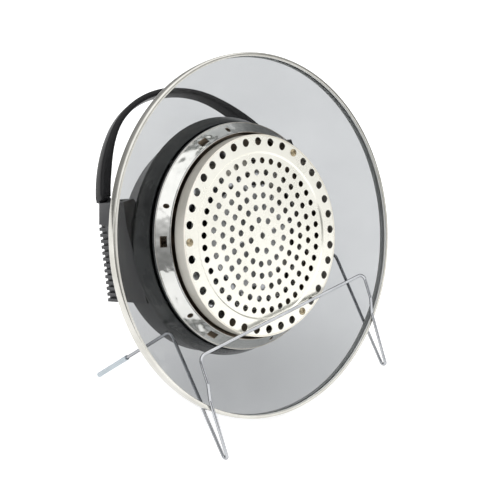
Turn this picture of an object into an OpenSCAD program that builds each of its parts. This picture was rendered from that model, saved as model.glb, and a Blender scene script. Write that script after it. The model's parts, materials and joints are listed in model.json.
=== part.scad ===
// Halogen oven lid with its heater head, leaning back on a bent wire stand.
// The lid is drawn upright first: lip plane at z 0, head above it, handle towards +Y.
// lid_pose() then leans it back and turns its open underside towards -Y.

/* [Pose of the lid] */
// Angle that the lid leans back on its stand
lean = 20.4; // [18:0.2:23]
// Gap between the table and the lowest edge of the rim
floor_gap = 2; // [1:0.5:6]
// Angle of the handle above the lid plane
handle_angle = 18.8; // [0:0.4:60]

/* [Rim and glass] */
// Outer radius of the steel rim
rim_r = 168.5; // [160:0.5:180]
// Width of the rim's lip
lip_w = 3.5; // [3:0.1:5]
// Height of the rim band
rim_h = 9; // [8:0.5:12]
// Sheet thickness of the rim
rim_t = 0.8; // [0.5:0.1:1]
// Distance from the rim's outside to the edge of the glass
glass_inset = 2.5; // [2:0.1:3]
// Height of the glass underside at its edge
glass_edge_z = 2.6; // [2:0.1:4]
// Height of the glass underside at the neck
glass_neck_z = 31; // [26:0.5:36]
// Thickness of the glass
glass_t = 3.5; // [3:0.1:4]
// Radius of the hole in the glass
glass_hole_r = 101; // [100:0.5:102]

/* [Heater can] */
// Outer radius of the can at its mouth
can_mouth_r = 97; // [96:0.5:100]
// Height of the mouth above the lip plane
can_mouth_z = 17; // [15:0.5:20]
// Outer radius of the flange that carries the glass
can_flange_r = 107; // [105:0.5:109]
// Top of that flange
can_flange_z = 28.5; // [26:0.5:30]
// Outer radius of the neck that passes through the glass
can_neck_r = 99.5; // [97:0.5:100]
// Top of the can
can_top_z = 45.2; // [44:0.2:50]
// Sheet thickness of the can
can_t = 1.2; // [0.8:0.1:1.5]
// Number of vent holes round the can's wall
can_vents = 6; // [3:1:9]

/* [Guard plate] */
// Outer radius of the guard plate
guard_r = 93.7; // [90:0.1:94]
// Height of the guard's outer face above the lip plane
guard_z = 2.7; // [2.7:0.1:4]
// Sheet thickness of the guard
guard_t = 0.8; // [0.5:0.1:1]
// Radius of the step between the rim zone and the middle zone
guard_step_r = 77.5; // [76:0.1:79]
// Depth of the middle zone behind the rim zone
guard_recess = 1.3; // [1:0.1:2]
// Radius of the guard's rounded edge
guard_edge_r = 1.5; // [1:0.1:2]
// Top of the guard's side wall
guard_top_z = 22; // [19:0.5:24]
// Hole diameter in the middle zone
guard_hole_d = 5.8; // [4:0.1:6]
// Hole diameter in the rim zone
guard_rim_hole_d = 7.4; // [6:0.1:8]
// Number of places in the rim zone, three of them screws
guard_rim_holes = 36; // [30:3:36]
// Radius of the circle of rim holes and screws
guard_rim_circle_r = 87.1; // [86:0.1:88]

/* [Lamp and fan] */
// Radius of the halogen lamp's ring
lamp_ring_r = 66; // [62:0.5:68]
// Outer radius of the quartz tube
lamp_tube_r = 5; // [4:0.1:5]
// Wall of the quartz tube
lamp_tube_t = 1; // [0.8:0.1:1.2]
// Height of the lamp's ring
lamp_z = 20; // [16:0.5:22]
// Half of the angle between the lamp's two end caps
lamp_gap_angle = 8.5; // [8:0.5:12]
// Radius of the fan
fan_r = 48; // [40:0.5:52]
// Height of the fan's blades
fan_h = 11; // [8:0.5:12]
// Number of fan blades
fan_blades = 8; // [4:1:10]
// Radius of the motor shaft
shaft_r = 3; // [2.5:0.1:4]

/* [Motor] */
// Radius of the rotor
rotor_r = 16.1; // [14:0.1:16.5]
// Air gap between rotor and stator
rotor_gap = 0.4; // [0.3:0.1:0.6]
// Height of the stator stack
stator_h = 18; // [14:0.5:18]
// Radius of the cooling fan
cool_fan_r = 42; // [30:0.5:44]
// Height of the cooling fan
cool_fan_h = 10; // [6:0.5:12]
// Length of the posts that carry the motor plate
post_h = 16; // [15.5:0.5:18]

/* [Casing] */
// Radius of the casing at its foot
case_r = 112; // [112:0.5:114]
// Height of the casing's foot
case_z = 56; // [56:0.5:58]
// Taper of the rear wall
case_taper = 22.75; // [16:0.25:25]
// Wall of the casing
case_t = 2.5; // [2:0.1:3]
// Height of the front step's top
step_z = 85; // [84:0.5:88]
// Place of the step along Y
step_y = -28; // [-30:0.5:-27]
// Height of the block's side edge at the step
block_z = 114; // [113:0.5:118]
// Slope of the block's top
block_slope = 14.9; // [13:0.1:16]
// Rise of the top's middle over its side edges
crown = 6; // [4:0.5:9]
// Number of grip grooves on each side
groove_n = 13; // [8:1:13]
// Pitch of the grip grooves
groove_pitch = 5.8; // [5:0.1:5.8]
// Width of a grip groove
groove_w = 2.8; // [2:0.1:3]
// Depth of a grip groove
groove_depth = 3; // [2:0.1:3.5]

/* [Handle] */
// Height of the handle's hinge
hinge_z = 70; // [69.5:0.5:71]
// Place of the hinge along Y
hinge_y = 20; // [19:0.5:21]
// Radius of the hinge pins
pin_r = 3; // [2.5:0.1:3.5]
// Width of the handle's bar across its plane
bar_w = 14; // [12:0.5:15]
// Thickness of the handle's bar in its plane
bar_t = 7; // [6:0.5:8]
// Reach of the bar's centre line from the hinge
handle_reach = 131; // [125:1:140]
// Radius of the handle's front arc
front_arc_r = 98; // [90:1:100]
// Radius of the handle's side arcs
side_arc_r = 165; // [150:1:180]
// Thickness of the handle's arms
arm_t = 3.8; // [3:0.1:4]

/* [Controls] */
// Radius of the knobs
knob_r = 17; // [14:0.5:18]
// Height of the knobs
knob_h = 18; // [14:0.5:22]
// Place of the knobs to each side
knob_x = 45; // [42:0.5:48]
// Place of the knobs along Y
knob_y = -62; // [-63:0.5:-60]
// Thickness of the front plate
fascia_t = 1.5; // [1:0.1:2]
// Radius of the indicator lenses
lens_r = 3; // [2:0.1:4]
// Bore radius of the cord gland
gland_bore_r = 3.75; // [3:0.05:4.5]
// Angle of the cord gland round the casing
gland_angle = 134; // [132:0.5:136]

/* [Wire stand] */
// Radius of the stand's wire
wire_r = 1.5; // [1.25:0.05:1.5]
// Distance from the middle of the stand to each side
stand_half_w = 110; // [104:0.5:114]
// Lean of the front legs
leg_lean = 23.4; // [22:0.2:25]
// Lean of the legs between their two kinks
kink_lean = 9; // [6:0.5:14]
// Lean of the legs above the kinks
crest_lean = 25.5; // [22:0.5:26]
// Height of the lower kink
kink_low_z = 54; // [53:0.5:58]
// Height of the upper kink
kink_high_z = 70; // [66:0.5:76]
// Height of the front bar
stand_z = 93; // [90:0.5:98]
// Distance between the two wires at a front foot
foot_pitch = 6; // [5.8:0.1:8]
// Height of the bend behind the lid
back_bend_z = 101.5; // [90:0.5:110]
// Place of the rear feet behind the middle of the rim
rear_foot_y = 121; // [110:1:135]
// Outer radius of the sleeves on the rear feet
sleeve_r = 2.5; // [2:0.1:3]
// Length of the sleeves
sleeve_len = 62; // [40:1:80]

/* [Hidden] */
$fn = 96;

// Clearances
running = 0.05;
slip = 0.02;
hair = 0.1;
seat_gap = 0.3;
screw_r = 1.5;
screw_hole_r = 1.6;
eps = 1;
// Longer than any piece that is cut or trimmed with it
reach = 200;

// Glass dome through its edge and its neck
glass_edge_r = rim_r - glass_inset;
glass_c = (pow(glass_edge_r, 2) - pow(can_flange_r, 2) + pow(glass_edge_z, 2) - pow(glass_neck_z, 2))
    / (2 * (glass_edge_z - glass_neck_z));
glass_in_r = norm([glass_edge_r, glass_edge_z - glass_c]);
glass_out_r = glass_in_r + glass_t;
function glass_under(r) = glass_c + sqrt(pow(glass_in_r, 2) - pow(r, 2));
function glass_over(r) = glass_c + sqrt(pow(glass_out_r, 2) - pow(r, 2));

// Heights of the stack inside the head
can_roof_z = can_top_z - can_t;
reflector_t = 0.8;
reflector_z = can_roof_z - reflector_t;
reflector_r = 80;
shield_t = 0.8;
shield_top_z = can_top_z + shield_t;
base_t = 3;
base_z = case_z - base_t;
base_in_r = 84;
collar_t = 1.2;
collar_foot_r = 108;
collar_top_r = case_r + 2.5;
collar_in_r = 100;
clamp_circle_r = 92;
clamp_boss_r = 5;
clamp_n = 4;

// Guard
guard_screw_n = 3;
guard_screw_step = guard_rim_holes / guard_screw_n;
guard_screw_angle = 14;
standoff_r = 3.5;
standoff_bore = 10.5;

guard_slope_w = 1.2;
// Rings of holes in the middle zone: radius, number of holes, angle of the first
guard_rings = [
    [14.9, 8, 90], [26.5, 16, 90], [37.3, 22, 77], [47.9, 28, 82.5], [58.6, 32, 90], [69.6, 40, 90]
];

// Can
vent_r = 2.2;
vent_angle = 33;
can_slot_angle = 15;
can_slot_w = 12;
can_slot_h = 3;
can_vent_depth = 20;

// Lamp
cap_r = lamp_tube_r + 2;
cap_z = lamp_z - lamp_tube_r - 1.5;
cap_seat_z = lamp_z + lamp_tube_r + 4;
cap_stop = 2;
lamp_end_angle = lamp_gap_angle + cap_stop / lamp_ring_r * 180 / PI;
lead_r = 1.2;
lead_hole_r = 2.2;
lead_bend_r = 5;
lead_z = case_z + 7;
clip_t = 1;
clip_stem_r = 1.5;
cutout_y = -62;
terminal_x = 14;
terminal_inset = 26;
terminal_y = case_r - terminal_inset;
terminal_size = [28, 12, 14];

// Fan and motor
fan_nut_z = 8.5;
fan_z = 12;
fan_hub_r = 9;
fan_disc_t = 1;
plate_t = 1.5;
plate_z = shield_top_z + post_h;
plate_top_z = plate_z + plate_t;
cool_fan_z = shield_top_z + 2;
spacer_r = 3.5;
spacer_y = 20;
spacer_low_h = 8.5;
spacer_top_h = 4;
stator_z = plate_top_z + spacer_low_h;
stator_top_z = stator_z + stator_h;
stator_x0 = -26;
stator_x1 = 52;
stator_half_y = 24;
window_x0 = 22;
window_x1 = 38;
window_half_y = 14;
coil_t = 7.2;
bracket_z = stator_top_z + spacer_top_h;
bracket_half_x = 9;
bush_r = 6;
bush_flange_r = 8;
bush_flange_t = 1.5;
shaft_low_z = 7.5;
shaft_top_z = bracket_z + plate_t + 2.5;
post_x = 48;
post_y = 14;
post_r = 3.5;
plate_lap = 7;

// Casing
pod_x = 112;
pod_rear_y = 67;
pod_bend_y = 45;
pod_rear_x = 108.5;
pod_root = 8;
pod_root_y = 50;
slot_in_x = 99.3;
slot_out_x = 104.7;
slot_y = 12;
slot_z = hinge_z - bar_w / 2 - 2;
slot_wall = 2.5;
pin_end = 2;
pin_len = slot_out_x + pin_end - slot_in_x + slot_wall;
case_tall = 70;
case_round_r = 4;
groove_y0 = 46;
groove_z = 84;
screw_circle_r = 95.5;
screw_boss_r = 4.5;
screw_boss_h = 22;
screw_rib_t = 3;
screw_bite = 16;
screw_tip_gap = 2;
screw_angles = [62, 118, -20, -160];
crown_r = (pow(pod_x, 2) + pow(crown, 2)) / (2 * crown);
vent_n = 7;
vent_w = 3;
vent_len = 44;
vent_pitch = 7;
vent_y0 = -8;
vent_low_z = step_z + 4;

// Controls
fascia_r = case_r - 8;
fascia_gap = 6;
fascia_top_z = step_z + fascia_t;
knob_z = fascia_top_z + seat_gap;
spindle_r = 3;
spindle_hole_r = 4.5;
spindle_low_z = 72;
spindle_in_knob = 13;
timer_r = 21;
timer_h = 22.5;
thermostat_size = [32, 26, 16.5];
unit_top_z = step_z - case_t;
lens_x = 8;
lens_inset = 22;
lens_y = lens_inset - case_r;
lens_len = 6;

// Gland
gland_rise = 12;
gland_z = case_z + gland_rise;
gland_pad_r = 11;
gland_pad_len = 12;
gland_pad_in = case_r - gland_pad_len;
gland_face = case_r - 0.5;
gland_flange_r = 9.5;
gland_flange_t = 2;
gland_thread_r = 6.5;
gland_nose_r = 7;
gland_nose = 5.5;
gland_tail = 5;
gland_nut_t = 4;
gland_nut_r = 9.5;

// Safety switch beside the right arm
switch_y0 = 40;
switch_y1 = 56;
switch_top_z = slot_z - 2 * hair;
switch_play = 0.3;
plunger_r = 1.2;
plunger_h = 4.1;
plunger_travel = 1.2;
plunger_z = hinge_z - bar_w / 2 - seat_gap - plunger_h;
switch_x = (slot_in_x + slot_out_x) / 2;
switch_w = slot_out_x - slot_in_x - 2 * switch_play - 2 * hair;
plunger_y = (switch_y0 + switch_y1) / 2;

// Handle: a front arc and two side arcs that meet without a corner
arm_in_x = slot_in_x + 0.9;
arm_end_x = 107.2;
arm_end_s = 50;
loop_start_s = 55;
arm_len = 60;
front_c = handle_reach - front_arc_r;
arc_k = side_arc_r - front_arc_r;
arc_a = 2 * arc_k * arm_end_x;
arc_b = 2 * arc_k * (arm_end_s - front_c);
arc_rest = pow(side_arc_r, 2) - pow(arm_end_x, 2) - pow(arm_end_s - front_c, 2) - pow(arc_k, 2);
arc_meet = asin(arc_rest / norm([arc_a, arc_b])) - atan2(arc_b, arc_a);
side_c = [-arc_k * sin(arc_meet), front_c - arc_k * cos(arc_meet)];
arc_end = acos((loop_start_s - side_c[1]) / side_arc_r);

// Place of the rim's middle over the table
rim_z = floor_gap + rim_r * cos(lean) + rim_h * sin(lean);

// Wires of the stand, side view as [y, z]
lip_in_y = -sqrt(pow(rim_r - lip_w, 2) - pow(stand_half_w, 2));
lip_out_y = -sqrt(pow(rim_r, 2) - pow(stand_half_w, 2));
function lid_to_side(y, z) = [y * sin(lean) + z * cos(lean), rim_z + y * cos(lean) - z * sin(lean)];
leg_seat = lid_to_side(lip_in_y, 0) + (wire_r + seat_gap) * [-cos(leg_lean), sin(leg_lean)];
foot_y = leg_seat[0] - (leg_seat[1] - wire_r) * tan(leg_lean);
kink_low = [leg_seat[0] + (kink_low_z - leg_seat[1]) * tan(leg_lean), kink_low_z];
kink_high = [kink_low[0] + (kink_high_z - kink_low_z) * tan(kink_lean), kink_high_z];
crest = [kink_high[0] + (stand_z - kink_high_z) * tan(crest_lean), stand_z];
back_foot = [foot_y + foot_pitch, wire_r];
band_edge = lid_to_side(lip_out_y, rim_h) - back_foot;
band_ease = 1.035;
band_lean = atan2(band_edge[0], band_edge[1]) + asin((wire_r + seat_gap) * band_ease / norm(band_edge));
dome_r = sqrt(pow(glass_out_r + wire_r + seat_gap, 2) - pow(stand_half_w, 2));
dome_c = lid_to_side(0, glass_c) - back_foot;
dome_lean = atan2(dome_c[0], dome_c[1]) + asin(dome_r / norm(dome_c));
back_lean = max(band_lean, dome_lean);
back_bend = [back_foot[0] + (back_bend_z - wire_r) * tan(back_lean), back_bend_z];
rear_foot = [rear_foot_y, sleeve_r];
leg_split = (kink_high + crest) / 2;
back_split = (back_foot + back_bend) / 2;
rear_run = rear_foot - back_bend;
rear_split = rear_foot - rear_run * (sleeve_len / norm(rear_run));
strut_split = back_bend + rear_run * (16 / norm(rear_run));
crest_r = 7;
kink_r = 4;
foot_bend_r = 2.5;
back_bend_r = 6;
wire_fn = 32;
// A bend is a hair thicker than its runs, and they lap into it
bend_swell = 0.01;
bend_lap = 0.05;

// The middle of the whole object along Y comes to zero, between a front foot and the handle
bar_round = 2.5;
bar_tilt = lean + handle_angle;
foot_front = foot_y + foot_bend_r / tan((90 - leg_lean) / 2) - foot_bend_r - wire_r - bend_swell;
handle_back = lid_to_side(hinge_y, hinge_z)[0] + (handle_reach + bar_t / 2 - bar_round) * sin(bar_tilt)
    + (bar_w / 2 - bar_round) * cos(bar_tilt) + bar_round;
origin_y = -(foot_front + handle_back) / 2;

module lid_pose() {
    translate([0, origin_y, rim_z]) rotate([90 + lean, 0, 180]) children();
}

// A rod between two points
module rod(a, b, r) {
    d = b - a;
    translate(a) rotate([0, acos(d[2] / norm(d)), atan2(d[1], d[0])]) cylinder(h = norm(d), r = r);
}

// A bend of radius bend_r that joins the runs p0-p1 and p1-p2
module elbow(p0, p1, p2, bend_r, r) {
    u = (p0 - p1) / norm(p0 - p1);
    v = (p2 - p1) / norm(p2 - p1);
    inner = acos(u * v);
    mid = (u + v) / norm(u + v);
    c = p1 + mid * (bend_r / sin(inner / 2));
    e1 = (p1 + u * (bend_r / tan(inner / 2)) - c) / bend_r;
    e2 = -u;
    e3 = cross(e1, e2);
    turn = [atan2(e2[2], e3[2]), -asin(e1[2]), atan2(e1[1], e1[0])];
    translate(c) rotate(turn) rotate_extrude(angle = 180 - inner)
        translate([bend_r, 0]) circle(r = r + bend_swell);
}

function bend_cut(p, i, bend_r) = i == 0 || i == len(p) - 1 ? 0 : bend_r / tan(run_angle(p, i) / 2);
function run_angle(p, i) = acos(
    ((p[i - 1] - p[i]) / norm(p[i - 1] - p[i])) * ((p[i + 1] - p[i]) / norm(p[i + 1] - p[i]))
);

// A wire through the points, with one bend radius for each inner point
module bent_wire(p, bends, r) {
    n = len(p);
    for (i = [0:n - 2]) {
        d = (p[i + 1] - p[i]) / norm(p[i + 1] - p[i]);
        a = p[i] + d * (i == 0 ? 0 : bend_cut(p, i, bends[i - 1]) - bend_lap);
        b = p[i + 1] - d * (i == n - 2 ? 0 : bend_cut(p, i + 1, bends[i]) - bend_lap);
        rod(a, b, r);
    }
    for (i = [1:1:n - 2]) elbow(p[i - 1], p[i], p[i + 1], bends[i - 1], r);
}

function on_side(side, q) = [side * stand_half_w, q[0] + origin_y, q[1]];

module front_bar() {
    color("gainsboro") bent_wire(
        [on_side(-1, leg_split), on_side(-1, crest), on_side(1, crest), on_side(1, leg_split)],
        [crest_r, crest_r], wire_r, $fn = wire_fn);
}

module front_leg(side) {
    color("gainsboro") bent_wire(
        [on_side(side, leg_split), on_side(side, kink_high), on_side(side, kink_low),
         on_side(side, [foot_y, wire_r]), on_side(side, back_foot), on_side(side, back_split)],
        [kink_r, kink_r, foot_bend_r, foot_bend_r], wire_r, $fn = wire_fn);
}

module left_front_leg() { front_leg(-1); }
module right_front_leg() { front_leg(1); }

module back_strut(side) {
    color("gainsboro") bent_wire(
        [on_side(side, back_split), on_side(side, back_bend), on_side(side, strut_split)],
        [back_bend_r], wire_r, $fn = wire_fn);
}

module left_back_strut() { back_strut(-1); }
module right_back_strut() { back_strut(1); }

module rear_leg(side) {
    color("gainsboro") rod(on_side(side, strut_split), on_side(side, rear_foot), wire_r, $fn = wire_fn);
}

module left_rear_leg() { rear_leg(-1); }
module right_rear_leg() { rear_leg(1); }

// Closed sleeve with a round tip, drawn over the end of a rear leg
module foot_sleeve(side) {
    bore_r = wire_r + slip;
    color("lightsteelblue") translate(on_side(side, rear_foot))
        rotate([atan2(rear_run[0], -rear_run[1]), 0, 0]) rotate_extrude($fn = wire_fn) polygon(concat(
            [[bore_r, 0], [bore_r, sleeve_len], [sleeve_r, sleeve_len], [sleeve_r, 0]],
            [for (a = [15:15:90]) sleeve_r * [cos(a), -sin(a)]],
            [[0, 0]]
        ));
}

module left_foot_sleeve() { foot_sleeve(-1); }
module right_foot_sleeve() { foot_sleeve(1); }

// Steel band of U section round the edge of the glass
module rim_band() {
    bevel = 0.4;
    in_r = rim_r - lip_w;
    color("silver") lid_pose() rotate_extrude($fn = 360) polygon([
        [in_r, 0], [rim_r - bevel, 0], [rim_r, bevel], [rim_r, rim_h - bevel], [rim_r - bevel, rim_h],
        [in_r, rim_h], [in_r, rim_h - rim_t], [rim_r - rim_t, rim_h - rim_t],
        [rim_r - rim_t, rim_t], [in_r, rim_t]
    ]);
}

// Silicone lining that holds the glass in the band
module rim_seal() {
    in_r = rim_r - lip_w + hair;
    out_r = rim_r - rim_t - hair / 2;
    slot_r = glass_edge_r + hair;
    slot_low = glass_edge_z - hair;
    slot_top = glass_over(in_r) + hair;
    color("dimgray") lid_pose() rotate_extrude($fn = 360) polygon([
        [in_r, rim_t], [out_r, rim_t], [out_r, rim_h - rim_t], [in_r, rim_h - rim_t],
        [in_r, slot_top], [slot_r, slot_top], [slot_r, slot_low], [in_r, slot_low]
    ]);
}

module glass_lid() {
    color("lightgray", 0.4) lid_pose() difference() {
        intersection() {
            translate([0, 0, glass_c]) sphere(r = glass_out_r, $fn = 360);
            translate([0, 0, glass_edge_z]) cylinder(h = glass_out_r, r = glass_edge_r, $fn = 360);
        }
        translate([0, 0, glass_c]) sphere(r = glass_in_r, $fn = 360);
        cylinder(h = glass_out_r, r = glass_hole_r, $fn = 180);
    }
}

// Black seal between the can's flange and the glass
module neck_gasket() {
    color("black") lid_pose() rotate_extrude($fn = 180) polygon([
        [glass_hole_r, can_flange_z], [can_flange_r, can_flange_z],
        [can_flange_r, glass_under(can_flange_r) - hair], [glass_hole_r, glass_under(glass_hole_r) - hair]
    ]);
}

module ring_of(n, r, start = 0) {
    for (i = [0:n - 1]) rotate([0, 0, start + i * 360 / n]) translate([r, 0, 0]) children();
}

// Where the lamp's end cap stands, on side s
function lead_place(s) = lamp_ring_r * [s * -sin(lamp_gap_angle), cos(lamp_gap_angle)];

module lead_places() {
    for (s = [-1, 1]) translate(lead_place(s)) children();
}

// Polished can: flared mouth, flange under the glass, neck and roof
module heater_can() {
    flange_low = can_flange_z - can_t;
    flare = can_flange_r - 1;
    color("silver") lid_pose() difference() {
        rotate_extrude($fn = 180) polygon([
            [shaft_r + 1.5, can_top_z], [can_neck_r, can_top_z], [can_neck_r, can_flange_z],
            [can_flange_r, can_flange_z], [can_flange_r, flange_low], [flare, flange_low],
            [can_mouth_r, can_mouth_z], [can_mouth_r - can_t, can_mouth_z], [flare - can_t, flange_low],
            [can_neck_r - can_t, flange_low], [can_neck_r - can_t, can_roof_z], [shaft_r + 1.5, can_roof_z]
        ]);
        ring_of(clamp_n, clamp_circle_r) translate([0, 0, can_roof_z - eps])
            cylinder(h = can_t + 2 * eps, r = screw_hole_r, $fn = 24);
        lead_places() translate([0, 0, can_roof_z - eps])
            cylinder(h = can_t + 2 * eps, r = lead_hole_r, $fn = 24);
        translate([0, 0, (can_mouth_z + flange_low) / 2]) {
            ring_of(can_vents, guard_r, vent_angle) rotate([0, 90, 0])
                cylinder(h = can_vent_depth, r = vent_r, $fn = 24);
            ring_of(can_vents, guard_r, can_slot_angle) translate([0, -can_slot_w / 2, -can_slot_h / 2])
                cube([can_vent_depth, can_slot_w, can_slot_h]);
        }
    }
}

// Pressed and pierced plate in front of the lamp and fan
module guard_plate() {
    back_z = guard_z + guard_recess;
    edge_c = [guard_r - guard_edge_r, guard_z + guard_edge_r];
    color("silver") lid_pose() {
        translate([0, 0, back_z]) linear_extrude(guard_t) difference() {
            circle(r = guard_step_r - guard_slope_w);
            circle(d = guard_hole_d, $fn = 24);
            for (g = guard_rings) for (i = [0:g[1] - 1])
                rotate(g[2] + i * 360 / g[1]) translate([g[0], 0]) circle(d = guard_hole_d, $fn = 24);
        }
        rotate_extrude($fn = 180) polygon([
            [guard_step_r - guard_slope_w, back_z], [guard_step_r, guard_z],
            [guard_step_r, guard_z + guard_t], [guard_step_r - guard_slope_w, back_z + guard_t]
        ]);
        translate([0, 0, guard_z]) linear_extrude(guard_t) difference() {
            circle(r = edge_c[0], $fn = 180);
            circle(r = guard_step_r, $fn = 180);
            for (i = [0:guard_rim_holes - 1]) rotate(guard_screw_angle + i * 360 / guard_rim_holes)
                translate([guard_rim_circle_r, 0])
                circle(d = i % guard_screw_step == 0 ? 2 * screw_hole_r : guard_rim_hole_d, $fn = 32);
        }
        rotate_extrude($fn = 180) polygon(concat(
            [for (a = [-90:15:0]) edge_c + guard_edge_r * [cos(a), sin(a)]],
            [[guard_r, guard_top_z], [guard_r - guard_t, guard_top_z]],
            [for (a = [0:-15:-90]) edge_c + (guard_edge_r - guard_t) * [cos(a), sin(a)]]
        ));
    }
}

module guard_standoffs() {
    foot = guard_z + guard_t;
    color("darkgray") lid_pose() ring_of(guard_screw_n, guard_rim_circle_r, guard_screw_angle) difference() {
        translate([0, 0, foot]) cylinder(h = can_roof_z - foot, r = standoff_r, $fn = 32);
        translate([0, 0, foot - eps]) cylinder(h = standoff_bore + eps, r = screw_r + slip, $fn = 32);
    }
}

// Pan-head screw with its head below z 0 and its shank above
module pan_screw(shank) {
    head_r = 3.6;
    head_h = 1.5;
    difference() {
        union() {
            rotate_extrude($fn = 32) polygon([
                [0, -head_h], [head_r - 1.4, -head_h], [head_r - 0.3, -head_h * 0.6],
                [head_r, -head_h * 0.25], [head_r, 0], [0, 0]
            ]);
            cylinder(h = shank, r = screw_r, $fn = 32);
        }
        for (a = [0, 90]) rotate(a) translate([-2.2, -0.4, -head_h - eps]) cube([4.4, 0.8, eps + 0.8]);
    }
}

module guard_screws() {
    color("goldenrod") lid_pose() ring_of(guard_screw_n, guard_rim_circle_r, guard_screw_angle)
        translate([0, 0, guard_z]) pan_screw(standoff_bore);
}

module reflector() {
    color("gainsboro") lid_pose() translate([0, 0, reflector_z]) linear_extrude(reflector_t) difference() {
        circle(r = reflector_r, $fn = 180);
        circle(r = fan_hub_r + 3);
        lead_places() circle(r = lead_hole_r, $fn = 24);
    }
}

// A 2D section carried round the lamp's ring, open between its ends
module lamp_sweep(end_angle) {
    rotate([0, 0, 90 + end_angle]) translate([0, 0, lamp_z])
        rotate_extrude(angle = 360 - 2 * end_angle, $fn = 120) translate([lamp_ring_r, 0]) children();
}

// Quartz tube bent to a ring, its two ends held in ceramic caps
module halogen_lamp() {
    color("whitesmoke", 0.6) lid_pose() lamp_sweep(lamp_end_angle) difference() {
        circle(r = lamp_tube_r, $fn = 32);
        circle(r = lamp_tube_r - lamp_tube_t, $fn = 32);
    }
}

// Coiled filament as a plain ring on its support discs
module lamp_filament() {
    support_n = 9;
    support_step = (360 - 2 * lamp_end_angle) / support_n;
    color("darkgray") lid_pose() {
        lamp_sweep(lamp_end_angle) circle(r = 0.8, $fn = 16);
        for (i = [0.5:1:support_n - 0.5]) rotate([0, 0, 90 + lamp_end_angle + i * support_step])
            translate([lamp_ring_r, 0, lamp_z]) rotate([90, 0, 0])
            cylinder(h = 0.6, r = lamp_tube_r - lamp_tube_t - running, center = true, $fn = 32);
    }
}

// Ceramic caps that hold the lamp's ends under the reflector
module lamp_end_caps() {
    stop_angle = hair / lamp_ring_r * 180 / PI;
    color("ivory") lid_pose() difference() {
        lead_places() translate([0, 0, cap_z]) cylinder(h = reflector_z - cap_z, r = cap_r, $fn = 48);
        lamp_sweep(lamp_end_angle - stop_angle) circle(r = lamp_tube_r + running, $fn = 32);
        lead_places() translate([0, 0, cap_seat_z])
            cylinder(h = reflector_z - cap_seat_z + eps, r = lead_r + running, $fn = 24);
    }
}

module lamp_clips() {
    clip_angle = 4;
    stem_z = lamp_z + lamp_tube_r + hair + clip_t / 2;
    color("silver") lid_pose() for (a = [210, 270, 330]) rotate([0, 0, a]) {
        rotate([0, 0, -clip_angle / 2]) translate([0, 0, lamp_z])
            rotate_extrude(angle = clip_angle, $fn = 360) translate([lamp_ring_r, 0]) difference() {
                circle(r = lamp_tube_r + hair + clip_t, $fn = 32);
                circle(r = lamp_tube_r + hair, $fn = 32);
            }
        translate([lamp_ring_r, 0, stem_z]) cylinder(h = reflector_z - stem_z, r = clip_stem_r, $fn = 24);
    }
}

module lamp_leads() {
    color("white") lid_pose() for (s = [-1, 1]) {
        x = lead_place(s)[0];
        y = lead_place(s)[1];
        bent_wire(
            [[x, y, cap_seat_z], [x, y, lead_z], [x, terminal_y, lead_z]],
            [lead_bend_r], lead_r, $fn = 24);
    }
}

module heat_shield() {
    color("lightgray") lid_pose() translate([0, 0, can_top_z]) linear_extrude(shield_t) difference() {
        circle(r = reflector_r, $fn = 180);
        circle(r = fan_hub_r + 3);
        lead_places() circle(r = lead_hole_r, $fn = 24);
    }
}

module thermal_cutout() {
    flange = [10, 1];
    can = [8, 5];
    tab = [0.8, 6, 7];
    color("silver") lid_pose() translate([0, cutout_y, shield_top_z]) {
        cylinder(h = flange[1], r = flange[0], $fn = 48);
        cylinder(h = can[1], r = can[0], $fn = 48);
        for (s = [-1, 1]) translate([s * can[0] / 2 - tab[0] / 2, -tab[1] / 2, can[1] - 1]) cube(tab);
    }
}

// Polished steel cone between glass and casing
module collar() {
    foot = glass_over(collar_foot_r - collar_t) + hair;
    color("silver") lid_pose() rotate_extrude($fn = 180) polygon([
        [collar_foot_r - collar_t, foot], [collar_foot_r, foot], [collar_top_r, base_z],
        [collar_in_r, base_z], [collar_in_r, base_z - collar_t],
        [collar_top_r - 1.6 * collar_t, base_z - collar_t]
    ]);
}

module clamp_screws() {
    color("darkgray") lid_pose() ring_of(clamp_n, clamp_circle_r)
        translate([0, 0, can_roof_z]) pan_screw(base_z - can_roof_z - 1);
}

// Outline of a side pod in plan, right half
module pod_plan(inset) {
    polygon([
        [slot_in_x - slot_wall - pod_root, step_y], [pod_x - inset, step_y],
        [pod_x - inset, pod_bend_y], [pod_rear_x - inset, pod_rear_y - inset],
        [slot_in_x - slot_wall, pod_rear_y - inset],
        [slot_in_x - slot_wall - pod_root, pod_root_y]
    ]);
}

module both_sides() {
    children();
    mirror([1, 0, 0]) children();
}

// Plate that carries the casing, with bosses down to the can's roof
module base_plate() {
    color("dimgray") lid_pose() difference() {
        union() {
            translate([0, 0, base_z]) linear_extrude(base_t) difference() {
                union() {
                    circle(r = case_r, $fn = 180);
                    both_sides() pod_plan(0);
                }
                circle(r = base_in_r, $fn = 180);
            }
            ring_of(clamp_n, clamp_circle_r) translate([0, 0, can_top_z])
                cylinder(h = base_z - can_top_z + eps, r = clamp_boss_r, $fn = 48);
        }
        ring_of(clamp_n, clamp_circle_r) translate([0, 0, can_top_z - eps])
            cylinder(h = base_z - can_top_z + eps, r = screw_r + slip, $fn = 32);
        for (a = screw_angles) rotate([0, 0, a]) translate([screw_circle_r, 0, base_z - eps])
            cylinder(h = base_t + 2 * eps, r = screw_hole_r, $fn = 32);
    }
}

module motor_posts() {
    color("silver") lid_pose() for (x = [-post_x, post_x]) for (y = [-post_y, post_y])
        translate([x, y, shield_top_z]) cylinder(h = post_h, r = post_r, $fn = 32);
}

module rounded_plate(size, r) {
    x = size[0] / 2 - r;
    y = size[1] / 2 - r;
    square([size[0] - 2 * r, size[1]], center = true);
    square([size[0], size[1] - 2 * r], center = true);
    for (i = [-x, x]) for (j = [-y, y]) translate([i, j]) circle(r = r, $fn = 32);
}

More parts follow.
